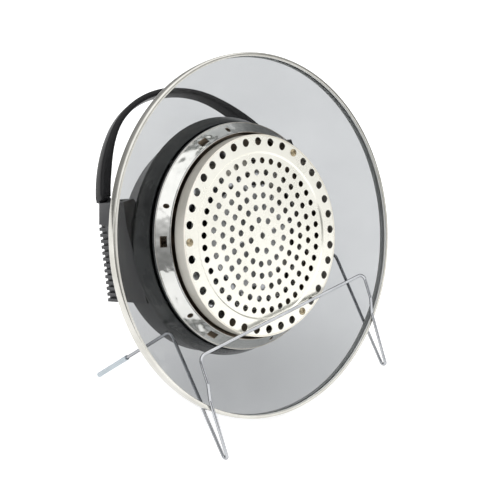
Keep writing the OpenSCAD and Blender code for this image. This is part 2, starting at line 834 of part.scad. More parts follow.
module motor_plate() {
    color("silver") lid_pose() translate([0, 0, plate_z]) linear_extrude(plate_t) difference() {
        rounded_plate([2 * (post_x + plate_lap), 2 * stator_half_y + 4], 5);
        circle(r = bush_r, $fn = 48);
        for (s = [-1, 1]) translate([0, s * spacer_y]) circle(r = screw_hole_r, $fn = 24);
    }
}

module motor_spacers() {
    color("silver") lid_pose() for (s = [-1, 1]) translate([0, s * spacer_y, 0]) {
        spacer(plate_top_z, spacer_low_h);
        spacer(stator_top_z, spacer_top_h);
    }
}

module spacer(z, h) {
    translate([0, 0, z]) linear_extrude(h) difference() {
        circle(r = spacer_r, $fn = 32);
        circle(r = screw_hole_r, $fn = 24);
    }
}

module motor_stator() {
    color("slategray") lid_pose() translate([0, 0, stator_z]) linear_extrude(stator_h) difference() {
        translate([stator_x0, -stator_half_y]) square([stator_x1 - stator_x0, 2 * stator_half_y]);
        circle(r = rotor_r + rotor_gap);
        translate([window_x0, -window_half_y]) square([window_x1 - window_x0, 2 * window_half_y]);
        for (s = [-1, 1]) translate([0, s * spacer_y]) circle(r = screw_hole_r, $fn = 24);
    }
}

// Winding round the stator's outer limb
module motor_coil() {
    limb = [stator_x1 - window_x1 + 2 * seat_gap, stator_h + 2 * seat_gap];
    color("sienna") lid_pose() translate([(window_x1 + stator_x1) / 2, 0, stator_z + stator_h / 2])
        rotate([90, 0, 0]) linear_extrude(2 * window_half_y - 1, center = true) difference() {
            rounded_plate([limb[0] + 2 * coil_t, limb[1] + 2 * coil_t], 4);
            square(limb, center = true);
        }
}

module motor_bracket() {
    color("silver") lid_pose() translate([0, 0, bracket_z]) linear_extrude(plate_t) difference() {
        rounded_plate([2 * bracket_half_x + 2, 2 * stator_half_y + 2], 4);
        circle(r = bush_r, $fn = 48);
        for (s = [-1, 1]) translate([0, s * spacer_y]) circle(r = screw_hole_r, $fn = 24);
    }
}

// Flanged bronze bushes: one on the plate, one under the bracket
module shaft_bushes() {
    color("peru") lid_pose() {
        translate([0, 0, plate_z]) bush();
        translate([0, 0, bracket_z + plate_t]) mirror([0, 0, 1]) bush();
    }
}

module bush() {
    difference() {
        union() {
            cylinder(h = plate_t, r = bush_r - slip, $fn = 48);
            translate([0, 0, plate_t]) cylinder(h = bush_flange_t, r = bush_flange_r, $fn = 48);
        }
        translate([0, 0, -eps])
            cylinder(h = plate_t + bush_flange_t + 2 * eps, r = shaft_r + running, $fn = 48);
    }
}

module motor_screws() {
    head_h = 2;
    head_r = 3;
    low_z = plate_z - head_h;
    top_z = bracket_z + plate_t;
    color("gray") lid_pose() for (s = [-1, 1]) translate([0, s * spacer_y, 0]) {
        translate([0, 0, low_z]) cylinder(h = top_z - low_z + eps, r = screw_r, $fn = 32);
        translate([0, 0, top_z]) cylinder(h = head_h, r = head_r, $fn = 32);
        translate([0, 0, low_z]) cylinder(h = head_h, r = head_r, $fn = 6);
    }
}

// Half space under the sloping, crowned top
module under_top(inset) {
    top = [0, step_y, block_z + crown];
    translate(top - crown_r * [0, sin(block_slope), cos(block_slope)])
        rotate([-90 - block_slope, 0, 0])
        cylinder(h = 3 * reach, r = crown_r - inset, center = true, $fn = 720);
}

// Outer form of the casing, or its hollow when inset is the wall
module case_form(inset) {
    low = case_z - (inset > 0 ? eps : 0);
    wall = inset / cos(case_taper);
    r_at = case_r - wall - (low - case_z) * tan(case_taper);
    intersection() {
        union() {
            translate([0, 0, low])
                cylinder(h = case_tall, r1 = r_at, r2 = r_at - case_tall * tan(case_taper), $fn = 180);
            translate([0, 0, low]) linear_extrude(case_tall) both_sides() pod_plan(inset);
        }
        under_top(inset);
        translate([-reach, step_y + inset, 0]) cube(2 * reach);
    }
    intersection() {
        rotate_extrude($fn = 180) polygon(concat(
            [[0, low], [case_r - inset, low]],
            [for (a = [0:15:90]) [case_r - case_round_r + (case_round_r - inset) * cos(a),
                                  step_z - case_round_r + (case_round_r - inset) * sin(a)]],
            [[0, step_z - inset]]
        ));
        translate([-reach, step_y + inset - 2 * reach, 0]) cube(2 * reach);
    }
}

// Solid walls on both sides of the handle's slots
module slot_walls() {
    intersection() {
        linear_extrude(reach) pod_plan(0);
        union() {
            translate([slot_in_x - slot_wall, slot_y - slot_wall, 0]) cube(reach);
            translate([slot_out_x, step_y, 0]) cube(reach);
        }
    }
}

// Moulded casing: front step, raised block, side pods with slots and grip grooves
module housing() {
    color("dimgray") lid_pose() difference() {
        union() {
            difference() {
                case_form(0);
                difference() {
                    case_form(case_t);
                    both_sides() slot_walls();
                    gland_axis() cylinder(h = 2 * gland_pad_in, r = gland_pad_r, $fn = 48);
                }
            }
            intersection() {
                case_form(0);
                for (a = screw_angles) rotate([0, 0, a]) {
                    translate([screw_circle_r, 0, case_z])
                        cylinder(h = screw_boss_h, r = screw_boss_r, $fn = 48);
                    translate([screw_circle_r, -screw_rib_t / 2, case_z])
                        cube([pod_x - screw_circle_r, screw_rib_t, screw_boss_h]);
                }
            }
            gland_axis() translate([0, 0, gland_pad_in])
                cylinder(h = gland_face - gland_pad_in, r = gland_pad_r, $fn = 48);
        }
        gland_axis() cylinder(h = gland_pad_in, r = gland_pad_r + eps, $fn = 48);
        gland_axis() cylinder(h = 2 * gland_pad_in, r = gland_thread_r + running, $fn = 48);
        for (a = screw_angles) rotate([0, 0, a]) translate([screw_circle_r, 0, case_z - eps])
            cylinder(h = screw_bite + screw_tip_gap + eps, r = screw_r + slip, $fn = 32);
        both_sides() {
            translate([slot_in_x, slot_y, slot_z]) cube([slot_out_x - slot_in_x, reach, reach]);
            for (i = [0:groove_n - 1])
                translate([pod_x - groove_depth, groove_y0 - i * groove_pitch - groove_w / 2, groove_z])
                cube([groove_depth + eps, groove_w, reach]);
            translate([slot_in_x - slot_wall - eps, hinge_y, hinge_z]) rotate([0, 90, 0])
                cylinder(h = pin_len + seat_gap + eps, r = pin_r + slip, $fn = 48);
            translate([knob_x, knob_y, unit_top_z - eps])
                cylinder(h = case_t + 2 * eps, r = spindle_hole_r, $fn = 48);
            translate([lens_x, lens_y, unit_top_z - eps])
                cylinder(h = case_t + 2 * eps, r = lens_r + running, $fn = 48);
        }
        translate([-switch_x - switch_w / 2 - hair, switch_y0 - switch_play, case_z - eps])
            cube([switch_w + 2 * hair, switch_y1 - switch_y0 + 2 * switch_play, slot_z - case_z + 2 * eps]);
        for (i = [0:vent_n - 1]) translate([-vent_len / 2, vent_y0 + i * vent_pitch, vent_low_z])
            cube([vent_len, vent_w, reach]);
    }
}

module gland_axis() {
    rotate([0, 0, gland_angle]) translate([0, 0, gland_z]) rotate([0, 90, 0]) children();
}

module housing_screws() {
    color("gray") lid_pose() for (a = screw_angles) rotate([0, 0, a])
        translate([screw_circle_r, 0, base_z]) pan_screw(base_t + screw_bite);
}

module fascia() {
    color("silver") lid_pose() translate([0, 0, step_z]) linear_extrude(fascia_t) difference() {
        intersection() {
            circle(r = fascia_r, $fn = 180);
            translate([-reach, step_y - fascia_gap - reach]) square([2 * reach, reach]);
        }
        for (s = [-1, 1]) translate([s * knob_x, knob_y]) circle(r = spindle_hole_r, $fn = 48);
        for (s = [-1, 1]) translate([s * lens_x, lens_y]) circle(r = lens_r + running, $fn = 48);
    }
}

module timer_unit() {
    color("whitesmoke") lid_pose() translate([knob_x, knob_y, unit_top_z - timer_h]) difference() {
        cylinder(h = timer_h, r = timer_r);
        translate([0, 0, spindle_low_z - unit_top_z + timer_h - 1])
            cylinder(h = timer_h, r = spindle_r + running, $fn = 48);
    }
}

module thermostat_unit() {
    size = thermostat_size;
    color("whitesmoke") lid_pose() translate([-knob_x, knob_y, unit_top_z - size[2]]) difference() {
        translate([-size[0] / 2, -size[1] / 2, 0]) cube(size);
        translate([0, 0, spindle_low_z - unit_top_z + size[2] - 1])
            cylinder(h = size[2], r = spindle_r + running, $fn = 48);
    }
}

module indicator_lenses() {
    color("red") lid_pose() for (s = [-1, 1]) translate([s * lens_x, lens_y, 0]) {
        translate([0, 0, fascia_top_z - lens_len]) cylinder(h = lens_len, r = lens_r, $fn = 48);
        translate([0, 0, fascia_top_z]) cylinder(h = 1.2, r1 = lens_r, r2 = lens_r - 1, $fn = 48);
    }
}

module terminal_block() {
    color("ivory") lid_pose() difference() {
        translate([-terminal_x, terminal_y, case_z]) cube(terminal_size);
        for (s = [-1, 1]) translate([s * 7, terminal_y + 6, case_z + 9]) cylinder(h = 10, r = 3, $fn = 32);
    }
}

module safety_switch() {
    bore_z = plunger_z - plunger_travel - 2 * hair;
    color("black") lid_pose() difference() {
        translate([-switch_x - switch_w / 2, switch_y0, case_z])
            cube([switch_w, switch_y1 - switch_y0, switch_top_z - case_z]);
        translate([-switch_x, plunger_y, bore_z])
            cylinder(h = switch_top_z - bore_z + eps, r = plunger_r + running, $fn = 32);
    }
}

module switch_plunger() {
    color("red") lid_pose() translate([-switch_x, plunger_y, plunger_z])
        cylinder(h = plunger_h, r = plunger_r, $fn = 32);
}

module cord_gland() {
    tail = gland_pad_in - gland_tail;
    nose_z = gland_face + gland_flange_t;
    color("black") lid_pose() gland_axis() difference() {
        union() {
            translate([0, 0, tail]) cylinder(h = gland_face - tail, r = gland_thread_r, $fn = 48);
            translate([0, 0, gland_face]) cylinder(h = gland_flange_t, r = gland_flange_r, $fn = 48);
            translate([0, 0, nose_z]) cylinder(h = gland_nose, r = gland_nose_r, $fn = 48);
        }
        translate([0, 0, tail - eps])
            cylinder(h = nose_z + gland_nose - tail + 2 * eps, r = gland_bore_r, $fn = 48);
    }
}

module gland_nut() {
    color("black") lid_pose() gland_axis() translate([0, 0, gland_pad_in - gland_nut_t]) difference() {
        cylinder(h = gland_nut_t, r = gland_nut_r, $fn = 6);
        translate([0, 0, -eps]) cylinder(h = gland_nut_t + 2 * eps, r = gland_thread_r + slip, $fn = 48);
    }
}

module hinge_pins() {
    color("silver") lid_pose() both_sides() translate([slot_in_x - slot_wall, hinge_y, hinge_z])
        rotate([0, 90, 0]) cylinder(h = pin_len, r = pin_r, $fn = 48);
}

// Section of the handle's bar: in-plane thickness along X, width along Y
module bar_section() {
    rounded_plate([bar_t, bar_w], bar_round);
}

// D-shaped handle with an arm in each slot
module handle() {
    color("black") lid_pose() translate([0, hinge_y, hinge_z]) rotate([handle_angle, 0, 0]) difference() {
        union() {
            translate([0, front_c, 0]) rotate([0, 0, 90 - arc_meet])
                rotate_extrude(angle = 2 * arc_meet, $fn = 240) translate([front_arc_r, 0]) bar_section();
            both_sides() translate([side_c[0], side_c[1], 0]) rotate([0, 0, 90 - arc_end])
                rotate_extrude(angle = arc_end - arc_meet, $fn = 240)
                translate([side_arc_r, 0]) bar_section();
            both_sides() translate([arm_in_x, 0, 0]) rotate([90, 0, 90]) linear_extrude(arm_t) {
                circle(r = bar_w / 2, $fn = 64);
                translate([0, -bar_w / 2]) square([arm_len, bar_w]);
            }
        }
        both_sides() translate([arm_in_x - eps, 0, 0]) rotate([0, 90, 0])
            cylinder(h = arm_t + 2 * eps, r = pin_r + running, $fn = 48);
    }
}

module spindle(x) {
    color("silver") lid_pose() translate([x, knob_y, spindle_low_z])
        cylinder(h = knob_z + spindle_in_knob - spindle_low_z - hair, r = spindle_r, $fn = 48);
}

module timer_spindle() { spindle(knob_x); }
module thermostat_spindle() { spindle(-knob_x); }

// Fluted knob with a skirt and a raised pointer
module knob(x) {
    skirt_h = 4;
    grip_r = knob_r - 3.5;
    color("black") lid_pose() translate([x, knob_y, knob_z]) difference() {
        union() {
            cylinder(h = skirt_h, r1 = knob_r, r2 = knob_r - 0.6);
            translate([0, 0, skirt_h]) cylinder(h = 1.5, r1 = knob_r - 0.6, r2 = grip_r + 0.5);
            cylinder(h = knob_h - 1, r = grip_r);
            translate([0, 0, knob_h - 1]) cylinder(h = 1, r1 = grip_r, r2 = grip_r - 1);
        }
        for (i = [0:11]) rotate([0, 0, 15 + i * 30]) translate([grip_r + 1.2, 0, skirt_h + 1.5])
            cylinder(h = knob_h, r = 2, $fn = 32);
        translate([-0.6, grip_r - 7, knob_h - 0.6]) cube([1.2, 6, 2]);
        translate([0, 0, -eps]) cylinder(h = spindle_in_knob + eps, r = spindle_r + slip, $fn = 48);
    }
}

module timer_knob() { knob(knob_x); }
module thermostat_knob() { knob(-knob_x); }

module motor_shaft() {
    color("silver") lid_pose() translate([0, 0, shaft_low_z])
        cylinder(h = shaft_top_z - shaft_low_z, r = shaft_r, $fn = 48);
}

module rotor() {
    color("gray") lid_pose() translate([0, 0, stator_z - 1]) linear_extrude(stator_h + 2) difference() {
        circle(r = rotor_r);
        circle(r = shaft_r + slip, $fn = 48);
    }
}

// Disc with upright blades under it, drawing air through the guard
module circulation_fan() {
    blade_t = 1.2;
    color("silver") lid_pose() translate([0, 0, fan_z]) difference() {
        union() {
            cylinder(h = fan_h + fan_disc_t, r = fan_hub_r, $fn = 48);
            translate([0, 0, fan_h]) cylinder(h = fan_disc_t, r = fan_r);
            for (i = [0:fan_blades - 1]) rotate([0, 0, i * 360 / fan_blades])
                translate([fan_hub_r - eps, -blade_t / 2, 0])
                cube([fan_r - fan_hub_r - eps, blade_t, fan_h + fan_disc_t / 2]);
        }
        translate([0, 0, -eps]) cylinder(h = fan_h + fan_disc_t + 2 * eps, r = shaft_r + slip, $fn = 48);
    }
}

module fan_nut() {
    color("gray") lid_pose() translate([0, 0, fan_nut_z]) difference() {
        cylinder(h = fan_z - fan_nut_z, r = 5.5, $fn = 6);
        translate([0, 0, -eps]) cylinder(h = fan_z, r = shaft_r + slip, $fn = 48);
    }
}

module cooling_fan() {
    blade_n = 9;
    blade_t = 1.2;
    blade_h = cool_fan_h - 2;
    blade_twist = 35;
    hub_r = 8;
    color("white") lid_pose() translate([0, 0, cool_fan_z]) difference() {
        union() {
            cylinder(h = cool_fan_h, r = hub_r, $fn = 48);
            for (i = [0:blade_n - 1]) rotate([0, 0, i * 360 / blade_n])
                translate([hub_r - eps, 0, cool_fan_h / 2]) rotate([blade_twist, 0, 0])
                translate([0, -blade_t / 2, -blade_h / 2]) cube([cool_fan_r - hub_r, blade_t, blade_h]);
        }
        translate([0, 0, -eps]) cylinder(h = cool_fan_h + 2 * eps, r = shaft_r + slip, $fn = 48);
    }
}

front_bar();
left_front_leg();
right_front_leg();
left_back_strut();
right_back_strut();
left_rear_leg();
right_rear_leg();
left_foot_sleeve();
right_foot_sleeve();
rim_band();
rim_seal();
glass_lid();
neck_gasket();
heater_can();
guard_plate();
guard_standoffs();
guard_screws();
reflector();
halogen_lamp();
lamp_filament();
lamp_end_caps();
lamp_clips();
lamp_leads();
heat_shield();
thermal_cutout();
collar();
clamp_screws();
base_plate();
motor_posts();
motor_plate();
motor_spacers();
motor_stator();
motor_coil();
motor_bracket();
shaft_bushes();
motor_screws();
housing();
housing_screws();
fascia();
timer_unit();
thermostat_unit();
indicator_lenses();
terminal_block();
safety_switch();
cord_gland();
gland_nut();
hinge_pins();
handle();
switch_plunger();
timer_spindle();
timer_knob();
thermostat_spindle();
thermostat_knob();
motor_shaft();
rotor();
circulation_fan();
fan_nut();
cooling_fan();
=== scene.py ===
# Glass oven lid with its heater head, leaning back on a bent wire stand
import json
import math
import bmesh
import bpy
from mathutils import Matrix, Vector


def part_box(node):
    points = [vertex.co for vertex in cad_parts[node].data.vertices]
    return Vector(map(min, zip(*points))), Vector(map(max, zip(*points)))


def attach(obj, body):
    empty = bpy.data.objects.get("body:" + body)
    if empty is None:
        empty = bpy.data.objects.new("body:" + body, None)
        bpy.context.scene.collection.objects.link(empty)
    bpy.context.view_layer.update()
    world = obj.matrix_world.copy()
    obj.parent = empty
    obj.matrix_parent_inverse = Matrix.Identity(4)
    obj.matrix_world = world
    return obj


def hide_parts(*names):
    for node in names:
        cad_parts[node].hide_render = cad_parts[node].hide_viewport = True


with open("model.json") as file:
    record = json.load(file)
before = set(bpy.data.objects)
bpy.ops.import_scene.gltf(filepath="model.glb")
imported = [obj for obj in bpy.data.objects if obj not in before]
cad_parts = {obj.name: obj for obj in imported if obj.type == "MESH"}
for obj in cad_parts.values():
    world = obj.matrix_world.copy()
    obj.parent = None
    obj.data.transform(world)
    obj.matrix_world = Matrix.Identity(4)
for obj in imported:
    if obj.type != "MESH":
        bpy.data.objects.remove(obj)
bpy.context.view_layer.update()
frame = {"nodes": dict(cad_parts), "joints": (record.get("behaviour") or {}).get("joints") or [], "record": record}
nodes = frame["nodes"]
joints = {joint["name"]: joint for joint in frame["joints"]}
mounts = {mount["name"]: mount for mount in frame["record"]["mounts"]}
mm = .001
print("frame loaded:", len(nodes), "nodes")

# the lid's own axes: z through the fan, y towards the handle, z 0 at the rim's lip
lidZ = Vector(joints["fan_spin"]["axis"]).normalized()
lidX = Vector(joints["handle_hinge"]["axis"]).normalized()
lidY = lidZ.cross(lidX)
rimCentre = Vector(mounts["bowl_seat"]["pos_m"])
lidFrame = Matrix.Translation(rimCentre) @ Matrix((lidX, lidY, lidZ)).transposed().to_4x4()


def addObject(name, data):
    made = bpy.data.objects.new(name, data)
    bpy.context.scene.collection.objects.link(made)
    return made


# camera at the photograph's angle
camera = {
    "place": (-.6645, -.7021, .6307),
    "right": (.7193, -.6947, .0023),
    "up": (.3132, .3272, .8915),
    "lens": 84.4,
    "sensor": 36,
    "farthest": 50,
}


def makeCamera():
    data = bpy.data.cameras.new("camera")
    data.lens = camera["lens"]
    data.sensor_width = camera["sensor"]
    data.clip_end = camera["farthest"]
    viewer = addObject("camera", data)
    right = Vector(camera["right"]).normalized()
    back = right.cross(Vector(camera["up"])).normalized()
    turn = Matrix((right, back.cross(right), back)).transposed().to_4x4()
    viewer.matrix_world = Matrix.Translation(camera["place"]) @ turn
    bpy.context.scene.camera = viewer
    bpy.context.scene.view_settings.view_transform = "Standard"


makeCamera()
print("camera placed")


# shader node groups
relief = {  # depths, scales and strengths of the bumps
    "skinDepth": .4 * mm, "ringStrength": .05, "ringDepth": .2 * mm, "ringRise": .7,
    "waveScale": 95, "waveDetail": 1, "waveDepth": 2 * mm,
}


def makeGroup(name, inputs, outputs):
    group = bpy.data.node_groups.new(name, "ShaderNodeTree")
    for label, kind, value in inputs:
        socket = group.interface.new_socket(label, in_out="INPUT", socket_type=kind)
        if value is not None:
            socket.default_value = value
    for label, kind in outputs:
        group.interface.new_socket(label, in_out="OUTPUT", socket_type=kind)
    return group, group.nodes.new("NodeGroupInput"), group.nodes.new("NodeGroupOutput")


def setSockets(node, **values):
    for label, value in values.items():
        node.inputs[label.replace("_", " ")].default_value = value


def addNode(tree, kind, **values):  # a value goes to the node's setting of that name, or else to its socket
    node = tree.nodes.new(kind)
    for label, value in values.items():
        if hasattr(node, label):
            setattr(node, label, value)
        else:
            setSockets(node, **{label: value})
    return node


def makeFineWear():  # handling marks: uneven gloss and a fine skin
    group, entry, leave = makeGroup(
        "fine wear",
        [("Scale", "NodeSocketFloat", 40), ("Grain", "NodeSocketFloat", 1500),
         ("Low", "NodeSocketFloat", .2), ("High", "NodeSocketFloat", .3)],
        [("Roughness", "NodeSocketFloat"), ("Height", "NodeSocketFloat"), ("Mask", "NodeSocketFloat")])
    place = addNode(group, "ShaderNodeTexCoord")
    broad = addNode(group, "ShaderNodeTexNoise", Detail=4, Roughness=.6)
    grain = addNode(group, "ShaderNodeTexNoise", Detail=2)
    spread = addNode(group, "ShaderNodeMapRange", From_Min=.3, From_Max=.7)
    link = group.links.new
    link(place.outputs["Object"], broad.inputs["Vector"])
    link(place.outputs["Object"], grain.inputs["Vector"])
    link(entry.outputs["Scale"], broad.inputs["Scale"])
    link(entry.outputs["Grain"], grain.inputs["Scale"])
    link(broad.outputs["Fac"], spread.inputs["Value"])
    link(entry.outputs["Low"], spread.inputs["To Min"])
    link(entry.outputs["High"], spread.inputs["To Max"])
    link(spread.outputs["Result"], leave.inputs["Roughness"])
    link(grain.outputs["Fac"], leave.inputs["Height"])
    link(broad.outputs["Fac"], leave.inputs["Mask"])
    return group


def makeTwoTone():  # a slow drift between two colours
    group, entry, leave = makeGroup(
        "two tone",
        [("Mask", "NodeSocketFloat", .5), ("Dark", "NodeSocketColor", None),
         ("Light", "NodeSocketColor", None)],
        [("Color", "NodeSocketColor")])
    spread = addNode(group, "ShaderNodeMapRange", From_Min=.35, From_Max=.65)
    mix = addNode(group, "ShaderNodeMix", data_type="RGBA")
    link = group.links.new
    link(entry.outputs["Mask"], spread.inputs["Value"])
    link(spread.outputs["Result"], mix.inputs[0])
    link(entry.outputs["Dark"], mix.inputs[6])
    link(entry.outputs["Light"], mix.inputs[7])
    link(mix.outputs[2], leave.inputs["Color"])
    return group


def makeSpunLines():  # fine rings that a spun or pressed sheet keeps round the lid's axis
    group, entry, leave = makeGroup(
        "spun lines",
        [("Vector", "NodeSocketVector", None), ("Pitch", "NodeSocketFloat", 900)],
        [("Height", "NodeSocketFloat")])
    split = addNode(group, "ShaderNodeSeparateXYZ")
    squareX = addNode(group, "ShaderNodeMath", operation="MULTIPLY")
    squareY = addNode(group, "ShaderNodeMath", operation="MULTIPLY")
    total = addNode(group, "ShaderNodeMath", operation="ADD")
    radius = addNode(group, "ShaderNodeMath", operation="SQRT")
    height = addNode(group, "ShaderNodeMath", operation="MULTIPLY_ADD")
    lines = addNode(group, "ShaderNodeTexNoise", noise_dimensions="1D", Detail=3)
    link = group.links.new
    link(entry.outputs["Vector"], split.inputs[0])
    for axis, square in (("X", squareX), ("Y", squareY)):
        link(split.outputs[axis], square.inputs[0])
        link(split.outputs[axis], square.inputs[1])
    link(squareX.outputs[0], total.inputs[0])
    link(squareY.outputs[0], total.inputs[1])
    link(total.outputs[0], radius.inputs[0])
    link(split.outputs["Z"], height.inputs[0])
    height.inputs[1].default_value = relief["ringRise"]  # so that upright walls get rings too
    link(radius.outputs[0], height.inputs[2])
    link(height.outputs[0], lines.inputs["W"])
    link(entry.outputs["Pitch"], lines.inputs["Scale"])
    link(lines.outputs["Fac"], leave.inputs["Height"])
    return group


fineWear = makeFineWear()
twoTone = makeTwoTone()
spunLines = makeSpunLines()


# finishes
def startMaterial(name, dark, light, rough, scale, grain):
    material = bpy.data.materials.new(name)
    material.use_nodes = True
    tree = material.node_tree
    shader = tree.nodes["Principled BSDF"]
    low, high = rough
    wear = addNode(tree, "ShaderNodeGroup", node_tree=fineWear, Scale=scale, Grain=grain, Low=low, High=high)
    tone = addNode(tree, "ShaderNodeGroup", node_tree=twoTone, Dark=(*dark, 1), Light=(*light, 1))
    link = tree.links.new
    link(wear.outputs["Mask"], tone.inputs["Mask"])
    link(tone.outputs["Color"], shader.inputs["Base Color"])
    link(wear.outputs["Roughness"], shader.inputs["Roughness"])
    return material, tree, shader, wear.outputs["Height"]


def addBump(tree, height, strength, depth, before=None):
    bump = addNode(tree, "ShaderNodeBump", Strength=strength, Distance=depth)
    tree.links.new(height, bump.inputs["Height"])
    if before:
        tree.links.new(before, bump.inputs["Normal"])
    return bump.outputs["Normal"]


def lidCoordinates(tree):  # Object coordinates turned into the lid's own axes
    place = addNode(tree, "ShaderNodeTexCoord")
    mapping = addNode(tree, "ShaderNodeMapping", vector_type="TEXTURE",
                      Location=lidFrame.to_translation(), Rotation=lidFrame.to_euler())
    tree.links.new(place.outputs["Object"], mapping.inputs["Vector"])
    return mapping.outputs["Vector"]


def surface(name, dark, light, rough, metal=0, scale=40, grain=1500, bump=.02, spun=0, waves=0, **extra):
    material, tree, shader, skin = startMaterial(name, dark, light, rough, scale, grain)
    link = tree.links.new
    normal = addBump(tree, skin, bump, relief["skinDepth"])
    if spun:
        rings = addNode(tree, "ShaderNodeGroup", node_tree=spunLines, Pitch=spun)
        link(lidCoordinates(tree), rings.inputs["Vector"])
        normal = addBump(tree, rings.outputs["Height"], relief["ringStrength"], relief["ringDepth"], normal)
    if waves:
        place = addNode(tree, "ShaderNodeTexCoord")
        swell = addNode(tree, "ShaderNodeTexNoise", Scale=relief["waveScale"], Detail=relief["waveDetail"])
        link(place.outputs["Object"], swell.inputs["Vector"])
        normal = addBump(tree, swell.outputs["Fac"], waves, relief["waveDepth"], normal)
    link(normal, shader.inputs["Normal"])
    setSockets(shader, Metallic=metal, **extra)
    return material


def makeGlass(name, dark, light, smooth, shade, ior):  # shade tints the light that falls through
    rough = (smooth, smooth * 2)
    material, tree, shader, _ = startMaterial(name, dark, light, rough, scale=6, grain=60)
    setSockets(shader, Transmission_Weight=1, IOR=ior)
    path = addNode(tree, "ShaderNodeLightPath")
    passing = addNode(tree, "ShaderNodeBsdfTransparent", Color=(*shade, 1))
    either = addNode(tree, "ShaderNodeMixShader")
    link = tree.links.new
    link(path.outputs["Is Shadow Ray"], either.inputs["Fac"])
    link(shader.outputs["BSDF"], either.inputs[1])
    link(passing.outputs["BSDF"], either.inputs[2])
    link(either.outputs["Shader"], tree.nodes["Material Output"].inputs["Surface"])
    return material


finishes = {
    "chromeWire": surface(
        "chrome wire", (.40, .41, .43), (.52, .53, .55), (.06, .14), metal=1, grain=900, bump=.03,
        Specular_Tint=(.03, .03, .035, 1)),
    "polishedSteel": surface(
        "polished steel", (.47, .48, .46), (.62, .62, .60), (.08, .15), metal=1, scale=18,
        spun=900, waves=.4),
    "guardSteel": surface(
        "guard steel", (.75, .74, .67), (.82, .81, .74), (.22, .32), metal=1, scale=25, bump=.04, spun=500),
    "rimSteel": surface(
        "rim steel", (.49, .48, .44), (.61, .60, .56), (.10, .20), metal=1, scale=30),
    "guardWallSteel": surface(
        "guard wall steel", (.74, .71, .63), (.84, .81, .74), (.48, .58), metal=1, scale=18, spun=700),
    # painted shade: dark brown steel laid on the inward and deep faces of the can and the guard wall, where shade
    # falls
    "paintedShadeSteel": surface(
        "painted shade steel", (.13, .105, .08), (.22, .185, .15), (.28, .42), metal=1, scale=30, spun=700),
    "darkCollar": surface(
        "dark collar", (.018, .020, .020), (.035, .038, .037), (.22, .34), metal=.2, scale=14, bump=.03),
    "domeGlass": makeGlass(
        "dome glass", (.42, .43, .44), (.46, .47, .48), .004, shade=(.90, .90, .905), ior=1.15),
    "quartz": makeGlass(
        "quartz", (.92, .92, .91), (.96, .96, .95), .01, shade=(.97, .97, .97), ior=1.46),
    "blackSeal": surface("black seal", (.012, .012, .012), (.022, .022, .022), (.45, .6), bump=.1),
    "greySeal": surface("grey seal", (.70, .71, .69), (.78, .79, .77), (.4, .55), bump=.1),
    "brass": surface("brass", (.27, .225, .145), (.42, .36, .25), (.25, .42), metal=1, scale=220),
    "screwSteel": surface("screw steel", (.42, .42, .42), (.56, .56, .55), (.2, .35), metal=1, scale=150),
    "coreIron": surface(
        "core iron", (.10, .10, .11), (.16, .16, .17), (.45, .6), metal=.6, scale=90, bump=.1),
    "winding": surface("winding", (.26, .09, .03), (.42, .17, .06), (.3, .45), metal=.3, scale=120, bump=.1),
    "bronze": surface("bronze", (.36, .22, .10), (.48, .31, .16), (.35, .5), metal=1, scale=120),
    "ceramic": surface("ceramic", (.72, .69, .62), (.80, .78, .71), (.55, .7), bump=.1),
    "leadSleeve": surface("lead sleeve", (.66, .65, .62), (.74, .73, .70), (.5, .65)),
    "casingPlastic": surface(
        "casing plastic", (.016, .0165, .019), (.025, .026, .029), (.34, .46), scale=12, grain=2600, bump=.12,
        Specular_IOR_Level=.3),
    "glossBlack": surface(
        "gloss black", (.008, .008, .009), (.014, .014, .015), (.3, .4), scale=18, grain=900, bump=.01,
        Specular_IOR_Level=.12, Coat_Weight=.03, Coat_Roughness=.2),
    "blackPlastic": surface("black plastic", (.014, .014, .014), (.024, .024, .024), (.4, .55), bump=.08),
    "panelSteel": surface(
        "panel steel", (.48, .48, .49), (.58, .58, .59), (.28, .4), metal=1, scale=60, bump=.05),
    "unitPlastic": surface("unit plastic", (.66, .66, .63), (.74, .74, .71), (.5, .6)),
    "redLens": surface("red lens", (.42, .012, .008), (.58, .02, .012), (.1, .16), Coat_Weight=.5),
    "sleevePlastic": surface("sleeve plastic", (.42, .48, .52), (.50, .56, .60), (.35, .5), bump=.05),
    "fanAluminium": surface(
        "fan aluminium", (.60, .61, .62), (.70, .71, .72), (.25, .4), metal=1, scale=60),
    "fanPlastic": surface("fan plastic", (.62, .62, .60), (.70, .70, .68), (.45, .6)),
}
print("materials made:", len(finishes))


def setFinish(piece, finish):
    piece.data.materials.clear()
    piece.data.materials.append(finishes[finish])


# pieces that keep the frame's own mesh
keptNodes = {
    "sleevePlastic": ["left_foot_sleeve", "right_foot_sleeve"],
    "chromeWire": ["reflector"],
    "quartz": ["halogen_lamp"],
    "screwSteel": [
        "guard_standoffs", "heat_shield", "thermal_cutout", "motor_posts", "motor_plate", "motor_spacers",
        "motor_bracket", "motor_screws", "housing_screws", "clamp_screws", "hinge_pins", "timer_spindle",
        "thermostat_spindle", "motor_shaft", "fan_nut", "lamp_clips", "lamp_filament",
    ],
    "coreIron": ["motor_stator", "rotor"],
    "winding": ["motor_coil"],
    "bronze": ["shaft_bushes"],
    "ceramic": ["lamp_end_caps"],
    "leadSleeve": ["lamp_leads", "terminal_block"],
    "blackPlastic": ["gland_nut", "safety_switch"],
    "unitPlastic": ["timer_unit", "thermostat_unit"],
    "redLens": ["switch_plunger", "indicator_lenses"],
    "fanAluminium": ["circulation_fan"],
    "fanPlastic": ["cooling_fan"],
    "greySeal": ["rim_seal"],
}
for finish, names in keptNodes.items():
    for name in names:
        setFinish(nodes[name], finish)


# mesh helpers
fillet = {
    "straight": 88,  # half a corner's angle, in degrees, past which it counts as straight
    "longestCut": .48,  # the share of an edge that one rounded corner may take
}
softEdge = {"weld": .00001, "flat": .4, "sharp": 30, "segments": 3}  # flat and sharp in degrees


def toData(name, mesh):
    data = bpy.data.meshes.new(name)
    mesh.to_mesh(data)
    mesh.free()
    return data


